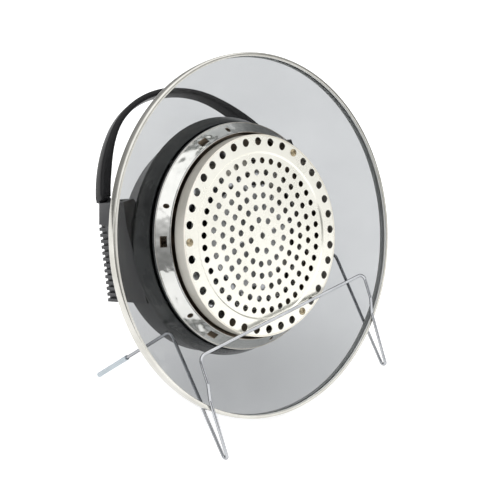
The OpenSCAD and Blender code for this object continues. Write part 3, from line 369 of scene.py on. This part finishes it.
def makePiece(name, mesh, body, replaced, finish, smoothAngle=35):
    piece = addObject(name, mesh)
    mesh.polygons.foreach_set("use_smooth", [True] * len(mesh.polygons))
    mesh.set_sharp_from_angle(angle=math.radians(smoothAngle))
    setFinish(piece, finish)
    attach(piece, body)
    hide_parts(*replaced)
    return piece


def bakeModifiers(piece):
    graph = bpy.context.evaluated_depsgraph_get()
    data = bpy.data.meshes.new_from_object(piece.evaluated_get(graph), depsgraph=graph)
    piece.modifiers.clear()
    piece.data = data


def filletOutline(points, radius=0, steps=4):  # a closed outline, a point's third number rounds its corner
    out = []
    for i, point in enumerate(points):
        corner = Vector(point[:2])
        size = point[2] if len(point) > 2 else radius
        before = Vector(points[i - 1][:2]) - corner
        after = Vector(points[(i + 1) % len(points)][:2]) - corner
        half = before.angle(after) / 2
        if size == 0 or half > math.radians(fillet["straight"]):
            out.append(corner)
            continue
        longest = fillet["longestCut"]
        cut = min(size / math.tan(half), before.length * longest, after.length * longest)
        size = cut * math.tan(half)
        inward = (before.normalized() + after.normalized()).normalized()
        centre = corner + inward * (size / math.sin(half))
        start = corner + before.normalized() * cut - centre
        end = corner + after.normalized() * cut - centre
        turn = start.angle_signed(end)
        for k in range(steps + 1):
            out.append(centre + Matrix.Rotation(-turn * k / steps, 2) @ start)
    return out


def revolve(outline, steps=256):  # closed outline of (radius, height) turned round the lid's axis
    mesh = bmesh.new()
    rings = []
    for i in range(steps):
        angle = math.tau * i / steps
        spots = [Vector((r * math.cos(angle), r * math.sin(angle), z)) for r, z in outline]
        rings.append([mesh.verts.new(lidFrame @ spot) for spot in spots])
    for i, ring in enumerate(rings):
        following = rings[(i + 1) % steps]
        for k in range(len(outline)):
            n = (k + 1) % len(outline)
            mesh.faces.new((ring[k], following[k], following[n], ring[n]))
    bmesh.ops.recalc_face_normals(mesh, faces=mesh.faces)
    return toData("turned", mesh)


def finishedCopy(name, node, body, finish, width):  # the frame's shape with rounded edges
    mesh = bmesh.new()
    mesh.from_mesh(nodes[node].data)
    flat = math.radians(softEdge["flat"])
    bmesh.ops.remove_doubles(mesh, verts=mesh.verts, dist=softEdge["weld"])
    bmesh.ops.dissolve_limit(mesh, angle_limit=flat, verts=mesh.verts, edges=mesh.edges)
    piece = makePiece(name, toData(name, mesh), body, [node], finish, softEdge["sharp"])
    bevel = piece.modifiers.new("soft edges", "BEVEL")
    bevel.width = width
    bevel.segments = softEdge["segments"]
    bevel.limit_method = "ANGLE"
    bevel.angle_limit = math.radians(softEdge["sharp"])
    bevel.harden_normals = True
    bevel.use_clamp_overlap = True
    bakeModifiers(piece)


# rim, glass and neck
lid = {
    "rimRadius": 168.5 * mm, "lipWidth": 3.5 * mm, "rimHeight": 9 * mm, "sheet": .8 * mm, "rimTurns": 360,
    "rimRound": 1.6 * mm, "hemRound": .3 * mm, "innerRound": .8 * mm,
    "glassEdge": 166 * mm, "glassEdgeHeight": 2.6 * mm, "neckHeight": 31 * mm, "neckRadius": 107 * mm,
    "glassHole": 101 * mm, "glassWall": 3.5 * mm, "domeSteps": 24,
    "underRound": .8 * mm, "overRound": 1.2 * mm,
    "flangeTop": 28.5 * mm, "sealRound": .8 * mm,
    "hair": .1 * mm,  # the gap that seal and collar keep to the glass
}


def domeArc():  # the circle through the glass at its edge and at the neck
    a, b = lid["glassEdge"], lid["neckRadius"]
    low, high = lid["glassEdgeHeight"], lid["neckHeight"]
    centre = (a * a - b * b + low * low - high * high) / (2 * (low - high))
    return centre, math.hypot(a, low - centre)


glassCentre, glassRadius = domeArc()


def domeHeight(radius, layer=0):
    return glassCentre + math.sqrt((glassRadius + layer) ** 2 - radius ** 2)


def makeRim():
    outer, height, sheet = lid["rimRadius"], lid["rimHeight"], lid["sheet"]
    inner = outer - lid["lipWidth"]
    hem, bend, fold = lid["hemRound"], lid["rimRound"], lid["innerRound"]
    outline = filletOutline([
        (inner, 0, hem), (outer, 0, bend), (outer, height, bend), (inner, height, hem),
        (inner, height - sheet, hem), (outer - sheet, height - sheet, fold),
        (outer - sheet, sheet, fold), (inner, sheet, hem),
    ])
    data = revolve(outline, lid["rimTurns"])
    makePiece("steel_rim", data, "lid", ["rim_band"], "rimSteel")


def makeDome():
    edge, hole, wall = lid["glassEdge"], lid["glassHole"], lid["glassWall"]
    ends = (hole, edge)
    steps = lid["domeSteps"]
    spread = [hole + (edge - hole) * i / steps for i in range(steps + 1)]
    under = [(r, domeHeight(r), lid["underRound"] if r in ends else 0) for r in spread]
    over = [(r, domeHeight(r, wall), lid["overRound"] if r in ends else 0) for r in reversed(spread)]
    data = revolve(filletOutline(under + over), lid["rimTurns"])
    makePiece("glass_dome", data, "lid", ["glass_lid"], "domeGlass")


def makeNeckSeal():
    inner, outer, flangeTop, hair = lid["glassHole"], lid["neckRadius"], lid["flangeTop"], lid["hair"]
    outline = filletOutline([
        (inner, flangeTop), (outer, flangeTop),
        (outer, domeHeight(outer) - hair), (inner, domeHeight(inner) - hair),
    ], lid["sealRound"])
    makePiece("neck_seal", revolve(outline), "lid", ["neck_gasket"], "blackSeal")


makeRim()
makeDome()
makeNeckSeal()
print("rim, glass and neck seal made")


# geometry node trees
def makeTree(name, inputs):
    tree = bpy.data.node_groups.new(name, "GeometryNodeTree")
    tree.interface.new_socket("Geometry", in_out="INPUT", socket_type="NodeSocketGeometry")
    for label, kind in inputs:
        tree.interface.new_socket(label, in_out="INPUT", socket_type=kind)
    tree.interface.new_socket("Geometry", in_out="OUTPUT", socket_type="NodeSocketGeometry")
    return tree, tree.nodes.new("NodeGroupInput"), tree.nodes.new("NodeGroupOutput")


def endTree(tree, entry, leave, geometry):
    real = addNode(tree, "GeometryNodeRealizeInstances")
    paint = addNode(tree, "GeometryNodeSetMaterial")
    link = tree.links.new
    link(geometry, real.inputs[0])
    link(real.outputs[0], paint.inputs["Geometry"])
    link(entry.outputs["Material"], paint.inputs["Material"])
    link(paint.outputs["Geometry"], leave.inputs[0])


def runTree(tree, base, values):
    carrier = addObject("carrier", base)
    modifier = carrier.modifiers.new("tree", "NODES")
    modifier.node_group = tree
    for item in tree.interface.items_tree:
        if item.item_type == "SOCKET" and item.in_out == "INPUT" and item.name in values:
            modifier[item.identifier] = values[item.name]
    graph = bpy.context.evaluated_depsgraph_get()
    data = bpy.data.meshes.new_from_object(carrier.evaluated_get(graph), depsgraph=graph)
    bpy.data.objects.remove(carrier)
    return data


def makePiercing():  # a flat sheet with a hole at every point, as wide as the point's own radius
    tree, entry, leave = makeTree("pierced sheet", [
        ("Outer radius", "NodeSocketFloat"), ("Inner radius", "NodeSocketFloat"),
        ("Sheet", "NodeSocketFloat"), ("Weld", "NodeSocketFloat"),
        ("Edge sides", "NodeSocketInt"), ("Hole sides", "NodeSocketInt"),
        ("Material", "NodeSocketMaterial"),
    ])
    hole = addNode(tree, "GeometryNodeCurvePrimitiveCircle", Radius=1)
    outer = addNode(tree, "GeometryNodeCurvePrimitiveCircle")
    inner = addNode(tree, "GeometryNodeCurvePrimitiveCircle")
    width = addNode(tree, "GeometryNodeInputNamedAttribute", Name="holeRadius")
    spread = addNode(tree, "GeometryNodeInstanceOnPoints")
    join = addNode(tree, "GeometryNodeJoinGeometry")
    real = addNode(tree, "GeometryNodeRealizeInstances")
    fill = addNode(tree, "GeometryNodeFillCurve")
    thicken = addNode(tree, "GeometryNodeExtrudeMesh", Individual=False)
    flip = addNode(tree, "GeometryNodeFlipFaces")
    both = addNode(tree, "GeometryNodeJoinGeometry")
    weld = addNode(tree, "GeometryNodeMergeByDistance")
    link = tree.links.new
    for ring, label in ((outer, "Outer radius"), (inner, "Inner radius")):
        link(entry.outputs["Edge sides"], ring.inputs["Resolution"])
        link(entry.outputs[label], ring.inputs["Radius"])
        link(ring.outputs["Curve"], join.inputs[0])
    link(entry.outputs["Hole sides"], hole.inputs["Resolution"])
    link(entry.outputs["Geometry"], spread.inputs["Points"])
    link(hole.outputs["Curve"], spread.inputs["Instance"])
    link(width.outputs["Attribute"], spread.inputs["Scale"])
    link(spread.outputs["Instances"], join.inputs[0])
    link(join.outputs[0], real.inputs[0])
    link(real.outputs[0], fill.inputs["Curve"])
    link(fill.outputs["Mesh"], thicken.inputs["Mesh"])
    link(entry.outputs["Sheet"], thicken.inputs["Offset Scale"])
    link(fill.outputs["Mesh"], flip.inputs["Mesh"])
    link(thicken.outputs["Mesh"], both.inputs[0])
    link(flip.outputs["Mesh"], both.inputs[0])
    link(both.outputs[0], weld.inputs["Geometry"])
    link(entry.outputs["Weld"], weld.inputs["Distance"])
    endTree(tree, entry, leave, weld.outputs["Geometry"])
    return tree


def makeWireTree():  # a round wire along a line of points
    tree, entry, leave = makeTree("wire", [
        ("Radius", "NodeSocketFloat"), ("Sides", "NodeSocketInt"), ("Material", "NodeSocketMaterial"),
    ])
    curve = addNode(tree, "GeometryNodeMeshToCurve")
    section = addNode(tree, "GeometryNodeCurvePrimitiveCircle")
    sweep = addNode(tree, "GeometryNodeCurveToMesh", Fill_Caps=True)
    link = tree.links.new
    link(entry.outputs["Geometry"], curve.inputs["Mesh"])
    link(entry.outputs["Radius"], section.inputs["Radius"])
    link(entry.outputs["Sides"], section.inputs["Resolution"])
    link(curve.outputs["Curve"], sweep.inputs["Curve"])
    link(section.outputs["Curve"], sweep.inputs["Profile Curve"])
    endTree(tree, entry, leave, sweep.outputs["Mesh"])
    return tree


piercing = makePiercing()
wireTree = makeWireTree()


# heater can
can = {
    "mouthRadius": 97 * mm, "mouthHeight": 17 * mm, "flangeRadius": 107 * mm, "flangeTop": 28.5 * mm,
    "neckRadius": 99.5 * mm, "top": 45.2 * mm, "sheet": 1.2 * mm, "shaftHole": 4.5 * mm,
    "lipWidth": 1 * mm, "mouthStep": .5 * mm, "mouthRise": 1.2 * mm,
    "topRound": 2 * mm, "innerTopRound": 1 * mm, "neckRound": .6 * mm, "flangeRound": .5 * mm,
    "flareRound": .4 * mm, "mouthRound": .5 * mm,
    "vents": 6, "ventRadius": 2.2 * mm, "ventSides": 24, "ventAngle": 33, "slotAngle": 15,
    "slotWidth": 10 * mm, "slotHeight": 4.6 * mm, "ventReach": 7 * mm, "ventDepth": 20 * mm,
}
paintedShade = {"inwards": -.15, "headwards": .3}  # faces that look further in or forwards than this get painted shade


def cutThrough(piece, cutter):
    holes = addObject("cutter", cutter)
    cut = piece.modifiers.new("cut", "BOOLEAN")
    cut.operation = "DIFFERENCE"
    cut.solver = "EXACT"
    cut.object = holes
    bpy.context.view_layer.update()
    bakeModifiers(piece)
    bpy.data.objects.remove(holes)


def paintShadeOnFaces(piece, chosen):  # painted shade: dark brown steel on the faces that look inwards or lie deep in the can, where shade falls
    piece.data.materials.append(finishes["paintedShadeSteel"])
    for face in piece.data.polygons:
        offset = face.center - rimCentre
        height = offset.dot(lidZ)
        outward = (offset - lidZ * height).normalized()
        if chosen(height, face.normal.dot(outward + lidZ * paintedShade["headwards"])):
            face.material_index = 1


def makeVents(middle):  # round holes and slots by turns, as one mesh to cut with
    holes = bmesh.new()
    radius, depth = can["ventRadius"], can["ventDepth"]
    reach = Matrix.Translation((can["mouthRadius"] + can["ventReach"], 0, middle))
    facing = Matrix.Rotation(math.pi / 2, 4, "Y")
    for i in range(can["vents"]):
        for kind in ("vent", "slot"):
            turn = Matrix.Rotation(math.radians(can[kind + "Angle"] + i * 360 / can["vents"]), 4, "Z")
            spot = lidFrame @ turn @ reach @ facing
            if kind == "vent":
                bmesh.ops.create_cone(holes, cap_ends=True, segments=can["ventSides"], radius1=radius,
                                      radius2=radius, depth=depth, matrix=spot)
            else:
                size = Matrix.Diagonal((can["slotHeight"], can["slotWidth"], depth, 1))
                bmesh.ops.create_cube(holes, size=1, matrix=spot @ size)
    return toData("vents", holes)


def makeCan():
    sheet, top, flange, neck = can["sheet"], can["top"], can["flangeTop"], can["neckRadius"]
    mouth, front = can["mouthRadius"], can["mouthHeight"]
    low = flange - sheet
    outer = can["flangeRadius"]
    flare = outer - can["lipWidth"]
    outline = filletOutline([
        (can["shaftHole"], top), (neck, top, can["topRound"]), (neck, flange, can["neckRound"]),
        (outer, flange, can["flangeRound"]), (outer, low, can["flangeRound"]),
        (flare, low, can["flareRound"]),
        (mouth + can["mouthStep"], front + can["mouthRise"], can["flareRound"]),
        (mouth, front, can["mouthRound"]), (mouth - sheet, front, can["mouthRound"]),
        (flare - sheet, low, can["neckRound"]), (neck - sheet, low, can["neckRound"]),
        (neck - sheet, top - sheet, can["innerTopRound"]), (can["shaftHole"], top - sheet),
    ])
    data = revolve(outline)
    piece = makePiece("heater_can_shell", data, "lid", ["heater_can"], "polishedSteel")
    cutThrough(piece, makeVents((front + low) / 2))
    # painted shade on the can's inward-looking faces
    paintShadeOnFaces(piece, lambda height, facing: facing < paintedShade["inwards"])


# guard plate
guard = {
    "radius": 93.7 * mm, "face": 2.7 * mm, "sheet": .8 * mm, "stepRadius": 77.5 * mm, "slope": 1.2 * mm,
    "recess": 1.3 * mm, "edge": 1.5 * mm, "wallTop": 22 * mm, "hole": 2.9 * mm, "rimHole": 3.7 * mm,
    "rimCircle": 87.1 * mm, "rimPlaces": 36, "screws": 3, "firstScrew": 14, "screwHole": 1.6 * mm,
    "rings": [(14.9, 8, 90), (26.5, 16, 90), (37.3, 22, 77), (47.9, 28, 82.5), (58.6, 32, 90),
              (69.6, 40, 90)],  # radius in mm, holes, angle of the first
    "holeSides": 28, "edgeSides": 180, "weld": .000002, "holeRound": .3 * mm, "roundSegments": 2,
    "roundAngle": 60, "stepLap": .3 * mm, "stepRound": 1 * mm, "sheetRound": .1 * mm,
    # the last entry on the next line is the height past which the guard wall gets painted shade, and also where
    # its straight wall starts
    "wallLap": .1 * mm, "wallRound": .2 * mm, "edgeSteps": 8, "smoothAngle": 40, "paintedShadeFrom": 15.5 * mm,
}


def holePoints(spots):
    data = bpy.data.meshes.new("holes")
    data.from_pydata([(x, y, 0) for x, y, _ in spots], [], [])
    width = data.attributes.new("holeRadius", "FLOAT", "POINT")
    width.data.foreach_set("value", [radius for _, _, radius in spots])
    return data


def around(radius, count, start, size):
    turns = [math.radians(start + i * 360 / count) for i in range(count)]
    return [(radius * math.cos(turn), radius * math.sin(turn), size) for turn in turns]


def makeGuardSheet(middleRadius):
    middleSpots = []
    for radius, count, start in guard["rings"]:
        middleSpots += around(radius * mm, count, start, guard["hole"])
    rimSpots = around(guard["rimCircle"], guard["rimPlaces"], guard["firstScrew"], guard["rimHole"])
    for i in range(0, guard["rimPlaces"], guard["rimPlaces"] // guard["screws"]):
        rimSpots[i] = (*rimSpots[i][:2], guard["screwHole"])
    whole = bmesh.new()
    for spots, outer, inner, height in (
        (middleSpots, middleRadius, guard["hole"], guard["face"] + guard["recess"]),
        (rimSpots, guard["radius"] - guard["edge"], guard["stepRadius"], guard["face"]),
    ):
        pierced = runTree(piercing, holePoints(spots), {
            "Outer radius": outer, "Inner radius": inner, "Sheet": guard["sheet"], "Weld": guard["weld"],
            "Edge sides": guard["edgeSides"], "Hole sides": guard["holeSides"],
            "Material": finishes["guardSteel"],
        })
        pierced.transform(lidFrame @ Matrix.Translation((0, 0, height)))
        whole.from_mesh(pierced)
    data = toData("guard", whole)
    plate = makePiece(
        "guard_sheet", data, "lid", ["guard_plate"], "guardSteel", guard["smoothAngle"])
    bevel = plate.modifiers.new("pressed holes", "BEVEL")
    bevel.width = guard["holeRound"]
    bevel.segments = guard["roundSegments"]
    bevel.limit_method = "ANGLE"
    bevel.angle_limit = math.radians(guard["roundAngle"])
    bakeModifiers(plate)


def makeGuard():
    sheet, face, edge, radius = guard["sheet"], guard["face"], guard["edge"], guard["radius"]
    outer = guard["stepRadius"]
    inner = outer - guard["slope"]
    back = face + guard["recess"]
    makeGuardSheet(inner)
    lap, bend = guard["stepLap"], guard["stepRound"]
    step = filletOutline([
        (inner - lap, back), (inner, back, bend), (outer, face, bend), (outer + lap, face),
        (outer + lap, face + sheet), (outer, face + sheet),
        (inner, back + sheet), (inner - lap, back + sheet),
    ], guard["sheetRound"])
    lap, bend, top = guard["wallLap"], guard["wallRound"], guard["wallTop"]
    wall = filletOutline([
        (radius - edge - lap, face), (radius, face, edge), (radius, guard["paintedShadeFrom"]), (radius, top, bend),
        (radius - sheet, top, bend), (radius - sheet, face + sheet, edge - sheet),
        (radius - edge - lap, face + sheet),
    ], steps=guard["edgeSteps"])
    for name, outline, finish in (("guard_step", step, "guardSteel"), ("guard_wall", wall, "guardWallSteel")):
        piece = makePiece(
            name, revolve(outline), "lid", ["guard_plate"], finish, guard["smoothAngle"])
        # painted shade on the part of the guard wall that lies deep in the can
        paintShadeOnFaces(piece, lambda height, facing: height > guard["paintedShadeFrom"])


# dark collar between glass and casing
collar = {
    "footRadius": 108 * mm, "topRadius": 114.5 * mm, "topHeight": 53 * mm, "innerRadius": 100 * mm,
    "sheet": 1.2 * mm, "inset": 1.6, "fineRound": .3 * mm, "footRound": .5 * mm, "topRound": 1 * mm,
    "insideRound": .6 * mm,
}


def makeCollar():
    sheet, top, fine = collar["sheet"], collar["topHeight"], collar["fineRound"]
    outer, inner, wide = collar["footRadius"], collar["innerRadius"], collar["topRadius"]
    foot = domeHeight(outer - sheet, lid["glassWall"]) + lid["hair"]
    outline = filletOutline([
        (outer - sheet, foot, fine), (outer, foot, collar["footRound"]), (wide, top, collar["topRound"]),
        (inner, top, fine), (inner, top - sheet, fine),
        (wide - collar["inset"] * sheet, top - sheet, collar["insideRound"]),
    ])
    makePiece("neck_cone", revolve(outline), "lid", ["collar"], "darkCollar")


makeCan()
makeGuard()
makeCollar()
print("can, guard and collar made")


# wire stand: one wire bent in the same plane on both sides
stand = {
    "legLean": 23.4, "kinkLean": 9, "crestLean": 25.5, "kinkLow": 54 * mm, "kinkHigh": 70 * mm,
    "footPitch": 6 * mm, "backBend": 101.5 * mm, "footBend": 2.5 * mm, "kinkBend": 4 * mm,
    "crestBend": 7 * mm, "rearBend": 6 * mm, "sides": 20, "bendSteps": 10,
    "nodes": ["front_bar", "left_front_leg", "right_front_leg", "left_back_strut", "right_back_strut",
              "left_rear_leg", "right_rear_leg"],
}


def roundPath(points, radii):
    out = [points[0]]
    steps = stand["bendSteps"]
    for i, radius in enumerate(radii, 1):
        corner = points[i]
        before = (points[i - 1] - corner).normalized()
        after = (points[i + 1] - corner).normalized()
        half = before.angle(after) / 2
        centre = corner + (before + after).normalized() * (radius / math.sin(half))
        start = corner + before * (radius / math.tan(half)) - centre
        end = corner + after * (radius / math.tan(half)) - centre
        out += [centre + start.slerp(end, k / steps) * radius for k in range(steps + 1)]
    return out + [points[-1]]


def makeStand():
    legLow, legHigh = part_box("left_rear_leg")
    wire = (legHigh.x - legLow.x) / 2
    halfWidth = -(legLow.x + wire)
    run = Vector((legHigh.y - legLow.y, legHigh.z - legLow.z)) - Vector((wire, wire))
    across = run.normalized() * wire
    rearFoot = Vector((legHigh.y - across.y, legLow.z + across.x))
    rearTop = Vector((legLow.y + across.y, legHigh.z - across.x))
    slope = (rearTop - rearFoot) / (rearTop.y - rearFoot.y)
    backBend = rearFoot + slope * (stand["backBend"] - rearFoot.y)
    lean = {key: math.tan(math.radians(stand[key])) for key in ("legLean", "kinkLean", "crestLean")}
    bend = stand["footBend"]
    turn = math.tan(math.radians(90 - stand["legLean"]) / 2)
    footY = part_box("left_front_leg")[0].y + wire + bend - bend / turn
    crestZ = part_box("front_bar")[1].z - wire
    foot = Vector((footY, wire))
    kinkLow = foot + Vector((lean["legLean"], 1)) * (stand["kinkLow"] - wire)
    kinkHigh = kinkLow + Vector((lean["kinkLean"], 1)) * (stand["kinkHigh"] - stand["kinkLow"])
    crest = kinkHigh + Vector((lean["crestLean"], 1)) * (crestZ - stand["kinkHigh"])
    side = [rearFoot, backBend, foot + Vector((stand["footPitch"], 0)), foot, kinkLow, kinkHigh, crest]
    bends = [stand["rearBend"], bend, bend, stand["kinkBend"], stand["kinkBend"], stand["crestBend"]]
    left = [Vector((-halfWidth, y, z)) for y, z in side]
    right = [Vector((halfWidth, y, z)) for y, z in reversed(side)]
    line = roundPath(left + right, bends + bends[::-1])
    data = bpy.data.meshes.new("line")
    data.from_pydata(line, [(i, i + 1) for i in range(len(line) - 1)], [])
    tube = runTree(wireTree, data, {
        "Radius": wire, "Sides": stand["sides"], "Material": finishes["chromeWire"],
    })
    makePiece("bent_wire", tube, "stand", stand["nodes"], "chromeWire")


makeStand()
print("stand made")


# handle: thin arms in the slots that swell into one round-edged bar
handle = {
    "armX": 102.1 * mm, "armThick": 3.8 * mm, "sideThick": 10.5 * mm, "frontThick": 6 * mm,
    "outward": 3.5 * mm, "width": 14 * mm, "round": 2.5 * mm, "thinFrom": 70 * mm, "thinTo": 122 * mm,
    "reach": 131 * mm, "frontArc": 98 * mm, "sideArc": 165 * mm, "endX": 107.2 * mm, "endS": 50 * mm,
    "blendFrom": 50.4 * mm, "blendTo": 52.8 * mm, "tipSteps": 8, "armSteps": 40, "sideSteps": 30,
    "frontSteps": 30, "cornerSteps": 5, "least": .4 * mm, "softShare": .8, "smoothAngle": 50,
}


def handleArcs():  # where the side arc meets the front arc, and both arcs' centres
    front = handle["reach"] - handle["frontArc"]
    k = handle["sideArc"] - handle["frontArc"]
    x, s = handle["endX"], handle["endS"] - front
    rest = handle["sideArc"] ** 2 - x * x - s * s - k * k
    meet = math.asin(rest / math.hypot(2 * k * x, 2 * k * s)) - math.atan2(s, x)
    return front, meet, Vector((-k * math.sin(meet), front - k * math.cos(meet)))


def easeBetween(value, low, high):
    t = min(max((value - low) / (high - low), 0), 1)
    return t * t * (3 - 2 * t)


def handleLine():  # from the tip of one arm round the front to the other, as (x, distance from the hinge)
    front, meet, centre = handleArcs()
    armX, sideArc, frontArc = handle["armX"], handle["sideArc"], handle["frontArc"]
    blendFrom, blendTo = handle["blendFrom"], handle["blendTo"]
    tip, arm, side, bow = (handle[key] for key in ("tipSteps", "armSteps", "sideSteps", "frontSteps"))
    line = []
    for i in range(tip):
        line.append((armX, handle["width"] / 2 * -math.cos(math.pi / (2 * tip) * i)))
    for i in range(arm + 1):
        s = blendTo * i / arm
        arcX = centre.x + math.sqrt(sideArc ** 2 - (s - centre.y) ** 2)
        line.append((armX + (arcX - armX) * easeBetween(s, blendFrom, blendTo), s))
    sideStart = math.acos((blendTo - centre.y) / sideArc)
    for i in range(1, side + 1):
        angle = sideStart + (meet - sideStart) * i / side
        line.append((centre.x + sideArc * math.sin(angle), centre.y + sideArc * math.cos(angle)))
    for i in range(1, bow + 1):
        angle = meet * (1 - i / bow)
        line.append((frontArc * math.sin(angle), front + frontArc * math.cos(angle)))
    return line + [(-x, s) for x, s in reversed(line[:-1])]


def handleSection(thick, wide):  # a rectangle with round corners
    soft = min(thick / 2 - handle["least"], handle["round"], wide * handle["softShare"])
    steps = handle["cornerSteps"]
    section = []
    for u, v, start in ((1, 1, 0), (-1, 1, 90), (-1, -1, 180), (1, -1, 270)):
        for k in range(steps + 1):
            a = math.radians(start + 90 * k / steps)
            across = u * (thick / 2 - soft) + soft * math.cos(a)
            section.append((across, v * (wide - soft) + soft * math.sin(a)))
    return section


def makeHandle():
    hinge = joints["handle_hinge"]
    lift = math.radians(-hinge["range_deg"][0])
    turn = lidFrame.to_3x3().to_4x4() @ Matrix.Rotation(lift, 4, "X")
    place = Matrix.Translation(Vector(hinge["pos_m"])) @ turn
    mesh = bmesh.new()
    rings = []
    line = handleLine()
    for i, (x, s) in enumerate(line):
        here = Vector((x, s))
        along = (Vector(line[min(i + 1, len(line) - 1)]) - Vector(line[max(i - 1, 0)])).normalized()
        out = Vector((along.y, -along.x))
        swell = easeBetween(s, handle["blendFrom"], handle["blendTo"])
        thin = easeBetween(s, handle["thinFrom"], handle["thinTo"])
        bar = handle["sideThick"] + (handle["frontThick"] - handle["sideThick"]) * thin
        thick = handle["armThick"] + (bar - handle["armThick"]) * swell
        here += out * (handle["outward"] - bar / 2) * swell
        wide = handle["width"] / 2
        if s < 0:
            wide = math.sqrt(max(wide * wide - s * s, handle["least"] ** 2))
        ring = []
        for u, v in handleSection(thick, wide):
            spot = here + out * u
            ring.append(mesh.verts.new(place @ Vector((spot.x, spot.y, v))))
        rings.append(ring)
    for first, second in zip(rings, rings[1:]):
        for k in range(len(first)):
            n = (k + 1) % len(first)
            mesh.faces.new((first[k], first[n], second[n], second[k]))
    mesh.faces.new(rings[0])
    mesh.faces.new(rings[-1])
    bmesh.ops.recalc_face_normals(mesh, faces=mesh.faces)
    data = toData("handle", mesh)
    makePiece("carry_handle", data, "handle", ["handle"], "glossBlack", handle["smoothAngle"])


makeHandle()
print("handle made")


# moulded and turned pieces that keep the frame's shape and get soft edges
softEdged = [
    ("casing", "housing", "lid", "casingPlastic", "casing_plastic", .7 * mm),
    ("casing_base", "base_plate", "lid", "casingPlastic", "casing_plastic", .4 * mm),
    ("control_panel", "fascia", "lid", "panelSteel", "panel_steel", .25 * mm),
    ("timer_dial", "timer_knob", "timer_knob", "glossBlack", "gloss_black", .4 * mm),
    ("thermostat_dial", "thermostat_knob", "thermostat_knob", "glossBlack", "gloss_black", .4 * mm),
    ("brass_screws", "guard_screws", "lid", "brass", "brass_screw", .15 * mm),
    ("gland", "cord_gland", "lid", "blackPlastic", "black_plastic", .4 * mm),
]
for name, node, body, finish, slot, width in softEdged:
    finishedCopy(name, node, body, finish, width)
print("soft-edged pieces made:", len(softEdged))


# floor, light and surroundings
studio = {
    "floorHalf": 12, "floorGlow": .7, "aim": (0, 0, .16),
    "sky": [(0, .3), (.5, .28), (.56, .32), (.66, .45), (.8, .85), (1, .95)],  # height, brightness
    "sunFrom": (.07, -.2, .98), "sunDistance": 2, "sunAngle": 100, "sunPower": 1.3,
    "cards": [  # name, direction, distance, size, brightness
        ("front card", (.46, -.88, .10), 2.0, (1.4, 1.0), .86),
        ("left card", (-.9, .42, .16), 1.9, (1.1, 1.0), .9),
    ],
}


def makeFloor():
    half = studio["floorHalf"]
    data = bpy.data.meshes.new("floor")
    corners = [(-half, -half, 0), (half, -half, 0), (half, half, 0), (-half, half, 0)]
    data.from_pydata(corners, [], [(0, 1, 2, 3)])
    floor = addObject("floor", data)
    data.materials.append(surface(
        "floor", (.59, .59, .59), (.61, .61, .61), (.6, .7), bump=0,
        Emission_Color=(1, 1, 1, 1), Emission_Strength=studio["floorGlow"]))


def makeWorld():  # grey from the horizon up to a pale top
    world = bpy.data.worlds.new("studio")
    bpy.context.scene.world = world
    world.use_nodes = True
    tree = world.node_tree
    place = addNode(tree, "ShaderNodeTexCoord")
    split = addNode(tree, "ShaderNodeSeparateXYZ")
    scaled = addNode(tree, "ShaderNodeMapRange", From_Min=-1)
    sky = addNode(tree, "ShaderNodeValToRGB")
    stops = sky.color_ramp.elements
    while len(stops) < len(studio["sky"]):
        stops.new(.5)
    for stop, (height, level) in zip(stops, studio["sky"]):
        stop.position = height
        stop.color = (level, level, level, 1)
    link = tree.links.new
    link(place.outputs["Generated"], split.inputs[0])
    link(split.outputs["Z"], scaled.inputs["Value"])
    link(scaled.outputs["Result"], sky.inputs["Fac"])
    link(sky.outputs["Color"], tree.nodes["Background"].inputs["Color"])


def addLamp(name, kind, place):  # a lamp that looks at the object's middle
    data = bpy.data.lights.new(name, kind)
    lamp = addObject(name, data)
    lamp.location = place
    lamp.rotation_euler = (Vector(studio["aim"]) - place).to_track_quat("-Z", "Y").to_euler()
    return data


def makeLights():
    sun = addLamp("sun", "SUN", Vector(studio["sunFrom"]) * studio["sunDistance"])
    sun.angle = math.radians(studio["sunAngle"])
    sun.energy = studio["sunPower"]
    for name, toward, distance, (width, height), brightness in studio["cards"]:
        place = Vector(toward).normalized() * distance + Vector(studio["aim"])
        card = addLamp(name, "AREA", place)
        card.shape = "RECTANGLE"
        card.size = width
        card.size_y = height
        card.energy = brightness * math.pi * width * height


makeFloor()
makeWorld()
makeLights()
print("studio made")
